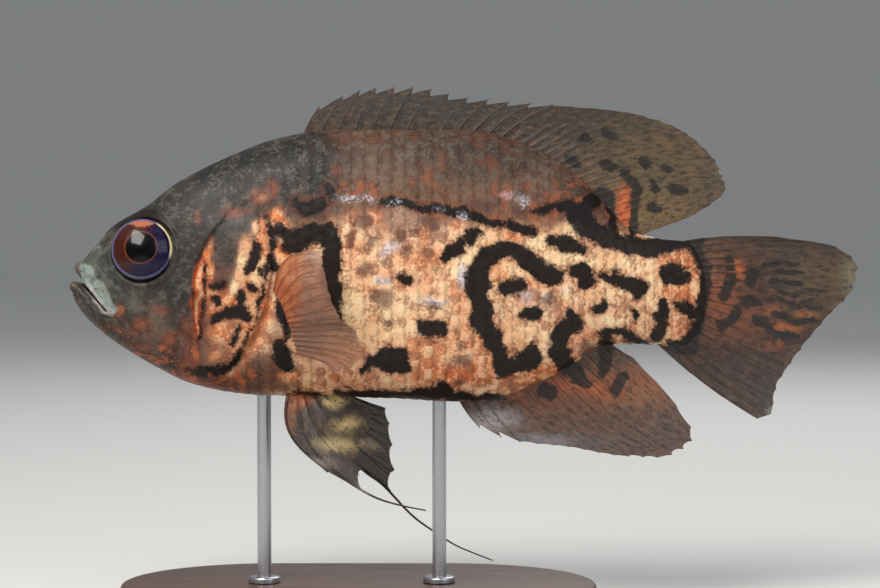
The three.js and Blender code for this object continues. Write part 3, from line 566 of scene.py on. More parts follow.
BLACK_INK, BROWN_INK, FLECK = ink(15, 12, 12), ink(84, 58, 50), ink(176, 96, 58)
BRIGHT_CELL, DULL_CELL, RED_CELL = ink(246, 220, 178), ink(140, 92, 70), ink(214, 116, 58)
SHADOW_CELL, GREY_CELL, PORE_BLACK = ink(30, 28, 27), ink(106, 98, 86), ink(22, 20, 20)
# The third colour on the next line is the white of the painted highlights (glints).
SCALE_EDGE, BLACK_HALO, PAINTED_GLINT_WHITE = ink(60, 38, 28), ink(120, 62, 36), ink(222, 224, 236)


def skin_looks():
    """Wet skin: washes of colour, mottled cell by cell, under crisp black markings, with painted
    highlights.
    """
    looks = Looks("oscar_skin", Subsurface_Weight=0.05, Subsurface_Scale=0.0015, Coat_Roughness=0.16,
                  Coat_IOR=1.36, Specular_IOR_Level=0.2)
    looks.surface.inputs["Subsurface Radius"].default_value = (1.0, 0.45, 0.25)
    place = looks.place()
    cells = looks.noise(place, 330.0, 3.0, 0.6)
    grain = looks.noise(place, 1300.0, 3.0, 0.65)
    patches = looks.noise(place, 120.0, 2.0)
    tone = looks.attribute("tone")
    mottle = looks.attribute("mottle")
    colour = looks.attribute("wash", "Color")
    bright = looks.step(cells + (grain - 0.5) * 0.6 + tone * 0.13, 0.46, 0.66)
    dull = 1 - looks.step(cells + (grain - 0.5) * 0.7 + tone * 0.13, 0.34, 0.48)
    colour = looks.mix(bright * mottle * 0.68, colour, BRIGHT_CELL)
    colour = looks.mix(dull * mottle * 0.66, colour, DULL_CELL)
    reddened = looks.step(patches + (cells - 0.5) * 0.9, 0.47, 0.66) * mottle * 0.36
    colour = looks.mix(reddened, colour, RED_CELL)
    plain = (1 - mottle) * (1 - looks.attribute("lid"))
    shade = looks.step(patches * 0.5 + cells * 0.6, 0.5, 0.64) * plain
    colour = looks.mix(shade * 0.55, colour, SHADOW_CELL)
    paler = (1 - looks.step(cells + (grain - 0.5) * 0.9, 0.34, 0.5)) * plain
    colour = looks.mix(paler * 0.4, colour, GREY_CELL)
    pores = looks.step(looks.noise(place, 1000.0, 2.0), 0.6, 0.68) * plain
    colour = looks.mix(pores * 0.5, colour, PORE_BLACK)
    flecks = looks.step(cells * 0.6 + patches * 0.7 + (grain - 0.5) * 0.4 + tone * 0.06, 0.66, 0.8)
    colour = looks.mix(flecks * looks.attribute("fleck"), colour, FLECK)
    rim = looks.attribute("edge") * (0.36 + (grain - 0.5) * 0.6)
    colour = looks.mix(rim, colour, SCALE_EDGE)
    brown = 1 - looks.step(looks.attribute("brown") + (grain - 0.5) * 2.4 + (cells - 0.5) * 2.0, -1.2, 0.9)
    colour = looks.mix(brown * 0.75, colour, BROWN_INK)
    ragged = looks.attribute("black") + (cells - 0.5) * 3.0 + (grain - 0.5) * 2.4
    halo = 1 - looks.step(ragged, -0.1, 1.8)
    colour = looks.mix(halo * 0.35, colour, BLACK_HALO)
    black = 1 - looks.step(ragged, -0.55, 0.65)
    colour = looks.mix(black * 0.98, colour, BLACK_INK)
    # Painted highlights: white glints laid into the colour, broken up by the grain.
    painted_glint_share = looks.attribute("painted_glint") * 0.6 * looks.step(grain + (cells - 0.5) * 0.6, 0.4, 0.62)
    colour = looks.mix(painted_glint_share, colour, PAINTED_GLINT_WHITE)
    fine = looks.noise(place, 3200.0, 2.0)
    rough = 0.42 + plain * 0.08 + (grain - 0.5) * 0.24 + (cells - 0.5) * 0.1
    normal = looks.bumps(grain * 0.6 + fine * 0.4, 0.34, 0.0004)
    normal = looks.bumps(cells, 0.2, 0.0006, normal)
    coat = (0.03 + mottle * 0.22) * (0.4 + cells * 1.2) * (1 - black * 0.75)
    return looks.wear(Base_Color=colour, Roughness=rough, Coat_Weight=coat, Normal=normal)


def fin_looks(name, clear, streaked=1.0):
    """Thin fin skin with rays: streaked along them, and a little see-through between them."""
    looks = Looks(name, Subsurface_Weight=0.0, Coat_Roughness=0.2)
    place = looks.place()
    cells = looks.noise(place, 420.0, 3.0, 0.6)
    grain = looks.noise(place, 1700.0, 3.0, 0.65)
    run = looks.attribute("run", "Vector")
    long = looks.noise(looks.add("Mapping", None, Vector=run, Scale=(2.4, 3.0, 1.0)), 1.0, 3.0, 0.6)
    fine = looks.noise(looks.add("Mapping", None, Vector=run, Scale=(9.0, 7.0, 1.0)), 1.0, 2.0, 0.6)
    ray = looks.attribute("ray")
    colour = looks.attribute("wash", "Color")
    light = looks.step(long + (grain - 0.5) * 0.5, 0.52, 0.68) * 0.6 * streaked
    colour = looks.mix(light, colour, looks.mix(0.5, ink(146, 108, 74), colour))
    dark = 1 - looks.step(long + (grain - 0.5) * 0.5 + (fine - 0.5) * 0.4, 0.34, 0.5)
    colour = looks.mix(dark * 0.7 * streaked, colour, ink(34, 25, 22))
    segments = looks.add("Math", {"operation": "SINE"}, looks.attribute("out") * 230.0)
    joints = looks.step(segments, 0.55, 0.9)
    colour = looks.mix(ray * (0.25 + fine * 0.3 + joints * 0.2), colour, ink(40, 29, 25))
    brown = 1 - looks.step(looks.attribute("brown") + (grain - 0.5) * 1.6, -0.8, 0.8)
    colour = looks.mix(brown * 0.6, colour, BROWN_INK)
    ragged = looks.attribute("black") + (cells - 0.5) * 1.4 + (fine - 0.5) * 2.2
    colour = looks.mix((1 - looks.step(ragged, -0.3, 0.4)) * 0.9, colour, BLACK_INK)
    solid = 1 - looks.attribute("thin") * (1 - ray) * (clear + (grain - 0.5) * 0.15)
    normal = looks.bumps(grain + segments * ray * 0.3, 0.25, 0.0003)
    rough = 0.42 + (grain - 0.5) * 0.2
    return looks.wear(Base_Color=colour, Roughness=rough, Alpha=solid, Normal=normal)


def eye_looks():
    """Iris and pupil by distance and direction from the middle of the eye, in millimetres, with a painted
    reflection and a painted highlight.
    """
    looks = Looks("eye_iris", Roughness=0.25, Coat_Weight=0.28, Coat_Roughness=0.03,
                  Specular_IOR_Level=0.08)
    across, up = looks.attribute("across"), looks.attribute("upward")
    far = (across * across + up * up) ** 0.5
    grain = looks.noise(looks.place(), 1500.0, 3.0, 0.6)
    streaks = looks.noise(looks.place(), 500.0, 2.0)
    # Painted reflection: the iris goes over from red-brown to navy towards its rear and lower side.
    reflection_share = looks.step(across - up * 0.5 + (streaks - 0.5) * 3.0, -3.0, 3.0)
    iris = looks.mix(reflection_share, ink(58, 24, 16), ink(20, 18, 48))
    iris = looks.mix(looks.step(grain, 0.52, 0.75) * 0.3, iris, ink(84, 66, 84))
    flash = looks.step(up - across * across * 0.1 + (grain - 0.5) * 2.4, 5.6, 6.4)
    iris = looks.mix(flash * 0.8, iris, ink(178, 106, 72))
    # Painted highlight: a cream glint on the outer ring, to the rear and a little up.
    glint = looks.step(across * 0.94 + up * 0.36, 6.0, 7.4)
    sheen = looks.mix(glint, ink(86, 82, 116), ink(240, 226, 176))
    colour = looks.mix(looks.step(far + (grain - 0.5) * 0.3, 7.85, 8.1), iris, sheen)
    colour = looks.mix(looks.step(far, 8.45, 8.7), colour, ink(14, 12, 15))
    ring = looks.step(far + (grain - 0.5) * 0.25, 4.3, 4.42) * (1 - looks.step(far, 4.55, 4.8))
    colour = looks.mix(ring * 0.5, colour, ink(138, 70, 40))
    colour = looks.mix(1 - looks.step(far, 4.25, 4.36), colour, ink(4, 4, 6))
    return looks.wear(Base_Color=colour)


def wood_looks():
    """Dark oiled walnut with its grain along the base."""
    looks = Looks("walnut", Coat_Roughness=0.25)
    place = looks.place()
    stretched = looks.add("Mapping", None, Vector=place, Scale=(12.0, 90.0, 90.0))
    warp = looks.noise(stretched, 1.2, 4.0, 0.6)
    rings = looks.noise(stretched, 2.6, 5.0, 0.7)
    pores = looks.noise(looks.add("Mapping", None, Vector=place, Scale=(150.0, 2600.0, 2600.0)), 1.0, 2.0)
    colour = looks.mix(looks.step(rings, 0.3, 0.7), ink(52, 32, 22), ink(96, 62, 40))
    colour = looks.mix(looks.step(warp, 0.45, 0.75) * 0.6, colour, ink(44, 28, 20))
    colour = looks.mix(looks.step(pores, 0.62, 0.75) * 0.6, colour, ink(30, 19, 14))
    normal = looks.bumps(pores, 0.2, 0.0002)
    rough = 0.38 + pores * 0.15
    coat = 0.25 + warp * 0.1
    return looks.wear(Base_Color=colour, Roughness=rough, Coat_Weight=coat, Normal=normal)


def steel_looks():
    """Satin steel, brushed round the rod."""
    looks = Looks("satin_steel", Metallic=1.0)
    stretched = looks.add("Mapping", None, Vector=looks.place(), Scale=(200.0, 200.0, 9000.0))
    brushed = looks.noise(stretched, 1.0, 2.0)
    colour = looks.mix(brushed, ink(176, 178, 182), ink(206, 208, 212))
    normal = looks.bumps(brushed, 0.12, 0.0001)
    return looks.wear(Base_Color=colour, Roughness=0.24 + brushed * 0.14, Normal=normal)


# Skin
HEAD_RINGS, BODY_RINGS, SIDES = 200, 148, 256
SNOUT_END, HEAD_END = 0.4, 62
LIP_RADIUS, LIP_INSET = 1.5, 0.96
UPPER_LIP_LINE = [(3.2, 81.4), (4.8, 78.9), (7.8, 74.8), (11.2, 70.4)]
LOWER_LIP_LINE = [(1.7, 76.2), (3.4, 75), (6.2, 72.2), (10.2, 68)]
GAPE = [
    (-4, 84), (2.2, 80.8), (4.9, 77.6), (8.4, 73.4), (11.5, 69.4), (11, 69.2), (7.6, 73.2), (4.4, 76.4),
    (0, 77.8), (-4, 78.4),
]


def skin_blank():
    """The whole body as one closed skin, finest at the head."""
    start = SNOUT_END * np.linspace(0, 1, 8)[1:] ** 2
    head = np.linspace(SNOUT_END, HEAD_END, HEAD_RINGS)[1:]
    rest = HEAD_END + (BODY_LENGTH - HEAD_END) * np.sin(np.linspace(0, math.pi / 2, BODY_RINGS)) ** 1.15
    alongs = np.concatenate([start, head, rest[1:-1]])
    turns = np.linspace(0, 2 * math.pi, SIDES, endpoint=False)
    rings = surface(alongs[:, None], turns[None, :])
    nose, stern = surface(0.0, 0.0)[None], surface(BODY_LENGTH, 0.0)[None]
    points = np.concatenate([rings.reshape(-1, 3), nose, stern])
    faces = ring_faces(len(alongs), SIDES) + pointed_ends(len(alongs), SIDES)
    return object_from("skin_blank", facing_out(mesh_from("skin_blank", points, faces)))


def facing_out(mesh):
    """The mesh with every face turned outwards."""
    bm = bmesh.new()
    bm.from_mesh(mesh)
    bmesh.ops.recalc_face_normals(bm, faces=bm.faces)
    bm.to_mesh(mesh)
    bm.free()
    return mesh


def flank_at(along, height):
    """Half the plain body's width at a height."""
    top, bottom = back_at(along), belly_at(along)
    widest = bottom + (top - bottom) * WIDEST_HEIGHT
    reach = np.where(height > widest, top - widest, widest - bottom)
    level = np.clip(np.abs(height - widest) / reach, 0, 1)
    fullness = np.where(height > widest, fullness_above_at(along), FULLNESS_BELOW)
    return half_width_at(along) * np.sqrt(1 - level**2) ** fullness


def spline(points, count):
    """Points of a smooth line through the given ones."""
    points = np.array(points, float)
    places = np.concatenate([[0], np.cumsum(np.linalg.norm(np.diff(points, axis=0), axis=1) ** 0.5)])
    padded = np.concatenate([[2 * points[0] - points[1]], points, [2 * points[-1] - points[-2]]])
    result = []
    for place in np.linspace(0, places[-1], count):
        i = min(int(np.searchsorted(places, place, "right")) - 1, len(points) - 2)
        t = (place - places[i]) / (places[i + 1] - places[i])
        a, b, c, d = padded[i : i + 4]
        result.append(0.5 * (2 * b + (c - a) * t + (2 * a - 5 * b + 4 * c - d) * t**2
                             + (3 * b - a - 3 * c + d) * t**3))
    return np.array(result)


def cord(name, path, radii, sides):
    """A closed tapering cord along a path."""
    path = np.asarray(path)
    ahead = np.gradient(path, axis=0)
    ahead /= np.linalg.norm(ahead, axis=1)[:, None]
    across = np.cross([0, 0, 1.0], ahead)
    across /= np.linalg.norm(across, axis=1)[:, None]
    up = np.cross(ahead, across)
    turns = np.linspace(0, 2 * math.pi, sides, endpoint=False)
    rings = (path[:, None] + across[:, None] * (radii[:, None] * np.cos(turns))[..., None]
             + up[:, None] * (radii[:, None] * np.sin(turns))[..., None])
    points = np.concatenate([rings.reshape(-1, 3), path[:1], path[-1:]])
    faces = ring_faces(len(path), sides) + pointed_ends(len(path), sides)
    return object_from(name, facing_out(mesh_from(name, points, faces)))


def lip(name, line, radius):
    """A lip from one corner of the mouth round the front to the other."""
    side = [(along, float(flank_at(along, height)) * LIP_INSET, height) for along, height in line]
    places = [(JAW_TIP_X + a, -y, FISH_HEIGHT + h) for a, y, h in reversed(side)]
    places += [(JAW_TIP_X + a, y, FISH_HEIGHT + h) for a, y, h in side]
    share = np.linspace(0, 1, 72)
    radii = radius * (0.5 + 0.5 * np.sin(math.pi * share) ** 0.7)
    return cord(name, spline(places, 72), radii, 20)


def gape_cutter():
    """The wedge that opens the mouth, right across the head."""
    points = [(JAW_TIP_X + along, y, FISH_HEIGHT + height) for y in (-40, 40) for along, height in GAPE]
    count = len(GAPE)
    faces = [tuple(range(count)), tuple(range(2 * count - 1, count - 1, -1))]
    for i in range(count):
        j = (i + 1) % count
        faces.append((i, j, count + j, count + i))
    return object_from("gape", facing_out(mesh_from("gape", points, faces)))


def joined_with(body, operation, other):
    """Adds another closed shape to the body, or takes it away."""
    change = body.modifiers.new(operation.lower(), "BOOLEAN")
    change.operation, change.solver, change.object = operation, "MANIFOLD", other


# Places of the skin's touches in the side view; each painted glint (a painted highlight) is x, y, half
# width, half height and strength
PAINTED_GLINTS = [
    (357, 199, 22, 3, 1), (398, 205, 9, 3, 0.9), (463, 218, 7, 4, 1), (524, 203, 4, 7, 1),
    (392, 248, 7, 5, 0.6), (385, 282, 8, 3, 0.6), (434, 301, 14, 3, 0.9), (464, 276, 4, 12, 0.7),
    (545, 296, 6, 6, 0.5), (566, 288, 6, 4, 0.5), (514, 196, 14, 4, 0.5), (440, 209, 8, 3, 0.5),
]
UPPER_LIP = [(86, 268, 4), (93, 282, 7), (101, 296, 7), (109, 308, 4.5)]
LOWER_LIP = [(88, 287, 2), (95, 299, 2.6), (103, 307, 2.6), (111, 312, 2)]
CHEEK_STREAK = [
    (207, 254, 0.6), (201, 265, 2), (198, 278, 2.4), (198, 290, 2.2), (197, 306, 2), (199, 337, 1),
]
TOUCHES = [  # stroke, where its edge starts and ends to fade, colour, strength
    (UPPER_LIP, -1, 2, ink(136, 150, 142), 0.85), (LOWER_LIP, -1, 1.5, ink(176, 170, 166), 0.8),
    (CHEEK_STREAK, 0.5, 4.5, ink(214, 92, 28), 0.85), (CHEEK_STREAK, -1.6, 0.2, ink(240, 190, 150), 0.8),
]
LID = {"x": 145.5, "y": 243.5, "reach": 35.5, "fades": (228, 240)}
LID_BROWN, MOUTH_PINK = ink(26, 17, 14), ink(110, 76, 70)
MOUTH_WALL, MOUTH_END, MOUTH_FLOOR = 1.6, 12, 68  # millimetres


def dress(mesh, points, mirrored, tone=None, edge=None):
    """Stores every attribute that the skin's material reads."""
    px, py, wash, black, brown = markings(points, mirrored)
    along, height = points[:, 0] - JAW_TIP_X, points[:, 2] - FISH_HEIGHT
    head = 1 - smooth(along - gill_edge_at(height), -2, 4)
    warm = smooth(wash[:, 0] - wash[:, 2], 0.12, 0.4)
    # Painted highlights: soft white glints at the listed places in the side view.
    painted_glint = np.zeros(len(px))
    for x, y, wide, tall, strength in PAINTED_GLINTS:
        painted_glint = np.maximum(painted_glint, strength * np.exp(-(np.hypot((px - x) / wide, (py - y) / tall) ** 4)))
    fleck = (1 - warm) * smooth(px, 290, 350) * (0.14 + 0.34 * smooth(py, 150, 200))
    throat = smooth(py - 330 - 0.25 * (px - 150), 0, 14) * (1 - smooth(px, 250, 300))
    fleck = np.maximum(fleck, 0.9 * throat)
    for places, from_edge, to_edge, tint, strength in TOUCHES:
        share = 1 - smooth(to_stroke(px, py, places), from_edge, to_edge)
        wash += (np.array(tint) - wash) * (share * strength)[:, None]
    from_lid = np.hypot(px - LID["x"], py - LID["y"])
    lid = (1 - smooth(from_lid, LID["reach"] - 2, LID["reach"])) * (1 - smooth(py, *LID["fades"]))
    wash += (np.array(LID_BROWN) - wash) * lid[:, None]
    inside = flank_at(along, height) - np.abs(points[:, 1]) > MOUTH_WALL
    inside &= (along < MOUTH_END) & (height > MOUTH_FLOOR)
    wash[inside] = MOUTH_PINK
    give(mesh, "wash", wash, "FLOAT_COLOR")
    give(mesh, "black", np.minimum(black, FARTHEST_KEPT))
    give(mesh, "brown", np.minimum(brown, FARTHEST_KEPT))
    give(mesh, "mottle", warm * (1 - 0.35 * head))
    give(mesh, "lid", lid)
    give(mesh, "fleck", fleck)
    give(mesh, "painted_glint", painted_glint)
    give(mesh, "tone", np.zeros(len(px)) if tone is None else tone)
    give(mesh, "edge", np.zeros(len(px)) if edge is None else edge)


def skin():
    """The whole skin of the body with its lips and open mouth."""
    body = skin_blank()
    upper = lip("upper_lip", UPPER_LIP_LINE, LIP_RADIUS)
    lower = lip("lower_lip", LOWER_LIP_LINE, LIP_RADIUS * 0.95)
    cutter = gape_cutter()
    joined_with(body, "UNION", upper)
    joined_with(body, "UNION", lower)
    joined_with(body, "DIFFERENCE", cutter)
    mesh = settled(body)
    for used in (upper, lower, cutter):
        bpy.data.objects.remove(used)
    points = points_of(mesh)
    mirrored = points[:, 1] > middle_at(points[:, 0] - JAW_TIP_X)
    dress(mesh, points, mirrored)
    made = object_from("skin", mesh, SKIN)
    mesh.set_sharp_from_angle(angle=math.radians(48))
    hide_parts("head", "lower_jaw", "gill_cover_left", "gill_cover_right", "torso", "tail_stem")
    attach(made, "root")


# Scales: lengths and row heights by along, starts on the nape by height, and one plate of unit length
SCALE_LENGTH = [(30, 2.6), (60, 3.7), (110, 3.8), (150, 3.0), (178, 2.3)]
ROW_HEIGHT = [(30, 2.7), (60, 3.4), (110, 3.5), (150, 2.8), (178, 2.1)]
NAPE_START = [(88, 54), (94.5, 48), (104, 42), (114, 44), (132, 52)]
SCALE_REACH = [-0.62, -0.3, 0.02, 0.27, 0.46, 0.57]
SCALE_SPREAD = [0.42, 0.53, 0.56, 0.5, 0.36, 0.13]
SCALE_RISE = [-0.05, -0.012, 0.014, 0.03, 0.038, 0.032]
SCALE_ACROSS = [-1, -0.55, 0, 0.55, 1]
SCALE_THICK, SCALE_DOME = 0.07, 0.035
FIRST_COLUMN, LAST_COLUMN = 34.0, 177
BEHIND_GILLS, NAPE_HEIGHT = 2.6, 92
BACK_MARGIN, BELLY_MARGIN = 1.4, 0.8
UNWRAPPED_LONG, UNWRAPPED_ROUND, UNWRAPPED_PLATE = 190, 130, 0.0006


def scale_plate():
    """One scale of unit length, thin, domed and rounded at its free rear edge."""
    points = []
    for below in (0, SCALE_THICK):
        for reach, spread, rise in zip(SCALE_REACH, SCALE_SPREAD, SCALE_RISE):
            for across in SCALE_ACROSS:
                points.append((reach, spread * across, rise - SCALE_DOME * across**2 - below))
    wide, long = len(SCALE_ACROSS), len(SCALE_REACH)
    faces = []
    for i in range(long - 1):
        for j in range(wide - 1):
            a = i * wide + j
            faces.append((a, a + wide, a + wide + 1, a + 1))
    rim = list(range(wide)) + [i * wide + wide - 1 for i in range(1, long)]
    rim += [(long - 1) * wide + j for j in range(wide - 2, -1, -1)]
    rim += [i * wide for i in range(long - 2, 0, -1)]
    lower = len(points) // 2
    faces += [(a, b, b + lower, a + lower) for a, b in zip(rim, rim[1:] + rim[:1])]
    faces.append(tuple(a + lower for a in rim))
    return object_from("scale_plate", facing_out(mesh_from("scale_plate", np.array(points), faces)))


def scale_sites(side):
    """Roots of one side's scales: place, lie, size, place on the unwrapped skin, and tone."""
    rng = np.random.default_rng(11 if side < 0 else 12)
    length_at, row_at, nape_at = through(SCALE_LENGTH), through(ROW_HEIGHT), through(NAPE_START)
    sites = []
    along, column = FIRST_COLUMN, 0
    while along < LAST_COLUMN:
        turns = side * np.linspace(0.015, 0.985, 300) * math.pi
        ring = surface(along, turns)
        girth = np.concatenate([[0], np.cumsum(np.linalg.norm(np.diff(ring, axis=0), axis=1))])
        line = np.interp(-lateral_line_at(along), -(ring[:, 2] - FISH_HEIGHT), girth)
        row, stagger = float(row_at(along)), 0.5 * (column % 2)
        first = math.ceil((girth[0] + BACK_MARGIN - line) / row - stagger)
        last = math.floor((girth[-1] - BELLY_MARGIN - line) / row - stagger)
        for index in range(first, last + 1):
            far = line + (index + stagger) * row
            turn = float(np.interp(far, girth, turns))
            height = float(np.interp(far, girth, ring[:, 2])) - FISH_HEIGHT
            gills_end = float(gill_edge_at(height)) + BEHIND_GILLS
            if along < (gills_end if height < NAPE_HEIGHT else float(nape_at(height))):
                continue
            here = surface(along, turn)
            ahead = Vector(surface(along + 0.8, turn) - surface(along - 0.8, turn)).normalized()
            round_body = Vector(surface(along, turn + 0.02) - surface(along, turn - 0.02))
            outward = ahead.cross(round_body).normalized()
            if outward.y * side < 0 and abs(outward.y) > 0.05 or outward.z * math.cos(turn) < -0.2:
                outward.negate()
            twist = rng.normal(0, 0.05)
            ahead = (ahead + round_body.normalized() * twist).normalized()
            ahead = (ahead - outward * ahead.dot(outward)).normalized()
            lie = Matrix((ahead, outward.cross(ahead), outward)).transposed().to_euler()
            length = float(length_at(along)) * rng.uniform(0.96, 1.05)
            size = (length * 1.08, row * 1.14, length * rng.uniform(0.85, 1.1))
            round_share = 0.04 + 0.92 * far / UNWRAPPED_ROUND
            unwrapped = (along / UNWRAPPED_LONG, round_share, float(rng.uniform(-1, 1)))
            sites.append((here, lie, size, unwrapped))
        along += float(length_at(along))
        column += 1
    return sites


def shape_tree(name, **asked):
    """An empty tree of geometry nodes that takes a geometry and the inputs asked for."""
    tree = bpy.data.node_groups.new(name, "GeometryNodeTree")
    for label, kind in (("Geometry", "Geometry"), *asked.items()):
        tree.interface.new_socket(label, in_out="INPUT", socket_type="NodeSocket" + kind)
    tree.interface.new_socket("Geometry", in_out="OUTPUT", socket_type="NodeSocketGeometry")
    return tree, tree.nodes.new("NodeGroupInput"), tree.nodes.new("NodeGroupOutput")


def scatter_tree():
    """Sets one plate on every point by its own lie and size, and makes the result real mesh."""
    tree, came, goes = shape_tree("scale_rows", Plate="Object", Finish="Material")
    nodes, links = tree.nodes, tree.links
    lie, size = nodes.new("GeometryNodeInputNamedAttribute"), nodes.new("GeometryNodeInputNamedAttribute")
    for node, name in ((lie, "lie"), (size, "size")):
        node.data_type = "FLOAT_VECTOR"
        node.inputs["Name"].default_value = name
    turned = nodes.new("FunctionNodeEulerToRotation")
    shape = nodes.new("GeometryNodeObjectInfo")
    placed = nodes.new("GeometryNodeInstanceOnPoints")
    real = nodes.new("GeometryNodeRealizeInstances")
    finish = nodes.new("GeometryNodeSetMaterial")
    links.new(came.outputs["Plate"], shape.inputs["Object"])
    links.new(came.outputs["Geometry"], placed.inputs["Points"])
    links.new(shape.outputs["Geometry"], placed.inputs["Instance"])
    links.new(lie.outputs[0], turned.inputs[0])
    links.new(turned.outputs[0], placed.inputs["Rotation"])
    links.new(size.outputs[0], placed.inputs["Scale"])
    links.new(placed.outputs[0], real.inputs[0])
    links.new(real.outputs[0], finish.inputs["Geometry"])
    links.new(came.outputs["Finish"], finish.inputs["Material"])
    links.new(finish.outputs[0], goes.inputs[0])
    return tree


def scales(name, side, plate, tree):
    """All the scales of one side in one piece, with their own unwrapping."""
    places, lies, sizes, roots = zip(*scale_sites(side))
    centres = np.array(places)
    mesh = mesh_from(name, centres, [])
    give(mesh, "lie", [tuple(lie) for lie in lies], "FLOAT_VECTOR")
    give(mesh, "size", sizes, "FLOAT_VECTOR")
    give(mesh, "root", roots, "FLOAT_VECTOR")
    seeds = object_from(name + "_seeds", mesh)
    scatter = seeds.modifiers.new("scatter", "NODES")
    scatter.node_group = tree
    for item in tree.interface.items_tree:
        if item.name == "Plate":
            scatter[item.identifier] = plate
        elif item.name == "Finish":
            scatter[item.identifier] = SKIN
    made_mesh = settled(seeds)
    points = points_of(made_mesh)
    flat = np.empty(len(points) * 3)
    made_mesh.attributes["root"].data.foreach_get("vector", flat)
    root = flat.reshape(-1, 3)
    offset = points - np.repeat(centres, len(plate.data.vertices), axis=0)
    upward = np.hypot(offset[:, 1], offset[:, 2]) * np.sign(offset[:, 2])
    baked = root[:, :2] + np.stack([offset[:, 0], upward], -1) * UNWRAPPED_PLATE
    uv = made_mesh.uv_layers.new(name="OFBake")
    corners = np.empty(len(made_mesh.loops), int)
    made_mesh.loops.foreach_get("vertex_index", corners)
    uv.data.foreach_set("uv", baked[corners].astype(np.float32).ravel())
    for spare in ("lie", "size", "root"):
        if spare in made_mesh.attributes:
            made_mesh.attributes.remove(made_mesh.attributes[spare])
    rim = smooth(points_of(plate.data)[:, 0], 0.3, 0.5)
    dress(made_mesh, points, np.full(len(points), side > 0), root[:, 2], np.tile(rim, len(centres)))
    made = object_from(name, made_mesh, SKIN)
    made_mesh.set_sharp_from_angle(angle=math.radians(40))
    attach(made, "root")


# Fins
WEB_HALF, WEB_EDGE_HALF, WEB_RIB = 0.17, 0.07, 0.1
RAY_SIDES = 6
FIN_WASHES = [
    (ink(60, 54, 49), 440, 110, 160, 40, 1), (ink(58, 48, 40), 600, 120, 110, 26, 1),
    (ink(92, 78, 54), 660, 175, 80, 60, 1), (ink(66, 56, 48), 560, 150, 50, 20, 0.8),
    (ink(116, 96, 60), 662, 215, 40, 24, 0.8), (ink(84, 74, 64), 720, 180, 20, 40, 0.6),
    (ink(196, 92, 44), 625, 212, 7, 28, 1), (ink(222, 130, 88), 603, 221, 6, 10, 1),
    (ink(214, 120, 70), 583, 202, 5, 6, 0.8), (ink(78, 52, 38), 760, 320, 100, 100, 1),
    (ink(150, 84, 52), 718, 300, 22, 36, 0.85), (ink(138, 76, 46), 742, 320, 26, 24, 0.75),
    (ink(184, 96, 44), 741, 268, 6, 10, 0.9), (ink(176, 96, 48), 772, 311, 10, 4, 0.9),
    (ink(190, 104, 46), 786, 328, 15, 4, 0.9), (ink(176, 94, 44), 773, 345, 12, 5, 0.8),
    (ink(160, 98, 46), 803, 315, 14, 3.5, 0.9), (ink(150, 84, 42), 790, 300, 16, 3, 0.8),
    (ink(92, 74, 52), 815, 275, 40, 34, 0.9), (ink(124, 122, 96), 853, 278, 9, 30, 0.9),
    (ink(66, 46, 40), 750, 375, 44, 34, 0.85), (ink(60, 50, 52), 766, 395, 16, 16, 0.8),
    (ink(150, 150, 150), 770, 410, 5, 6, 0.7), (ink(78, 60, 52), 800, 252, 50, 12, 0.7),
    (ink(88, 60, 44), 600, 410, 110, 50, 1), (ink(156, 84, 48), 560, 388, 74, 16, 0.9),
    (ink(132, 78, 46), 640, 385, 36, 18, 0.85), (ink(136, 84, 50), 650, 402, 30, 14, 0.6),
    (ink(92, 80, 80), 560, 444, 70, 12, 0.85), (ink(84, 66, 58), 670, 430, 40, 26, 0.8),
    (ink(168, 160, 164), 492, 420, 26, 12, 0.85), (ink(140, 134, 144), 545, 441, 26, 7, 0.6),
]


def over_rays(points):
    """Curve through places that are given by ray number, along, out and height."""
    curves = [through([(p[0], p[k]) for p in points]) for k in (1, 2, 3)]

    def at(ray):
        return np.stack([JAW_TIP_X + curves[0](ray), curves[1](ray), FISH_HEIGHT + curves[2](ray)], -1)

    return at


def fan(root_at, tip_at, bow):
    """Place on a fin at a ray number and a share of the way out from its root."""

    def place(ray, out):
        ray, out = np.broadcast_arrays(np.asarray(ray, float), np.asarray(out, float))
        root, tip = root_at(ray), tip_at(ray)
        length = np.linalg.norm(tip - root, axis=-1)[..., None]
        belly = np.sin(math.pi * np.clip(out, 0, 1))[..., None]
        return root + (tip - root) * out[..., None] + bow(ray) * belly * length

    return place


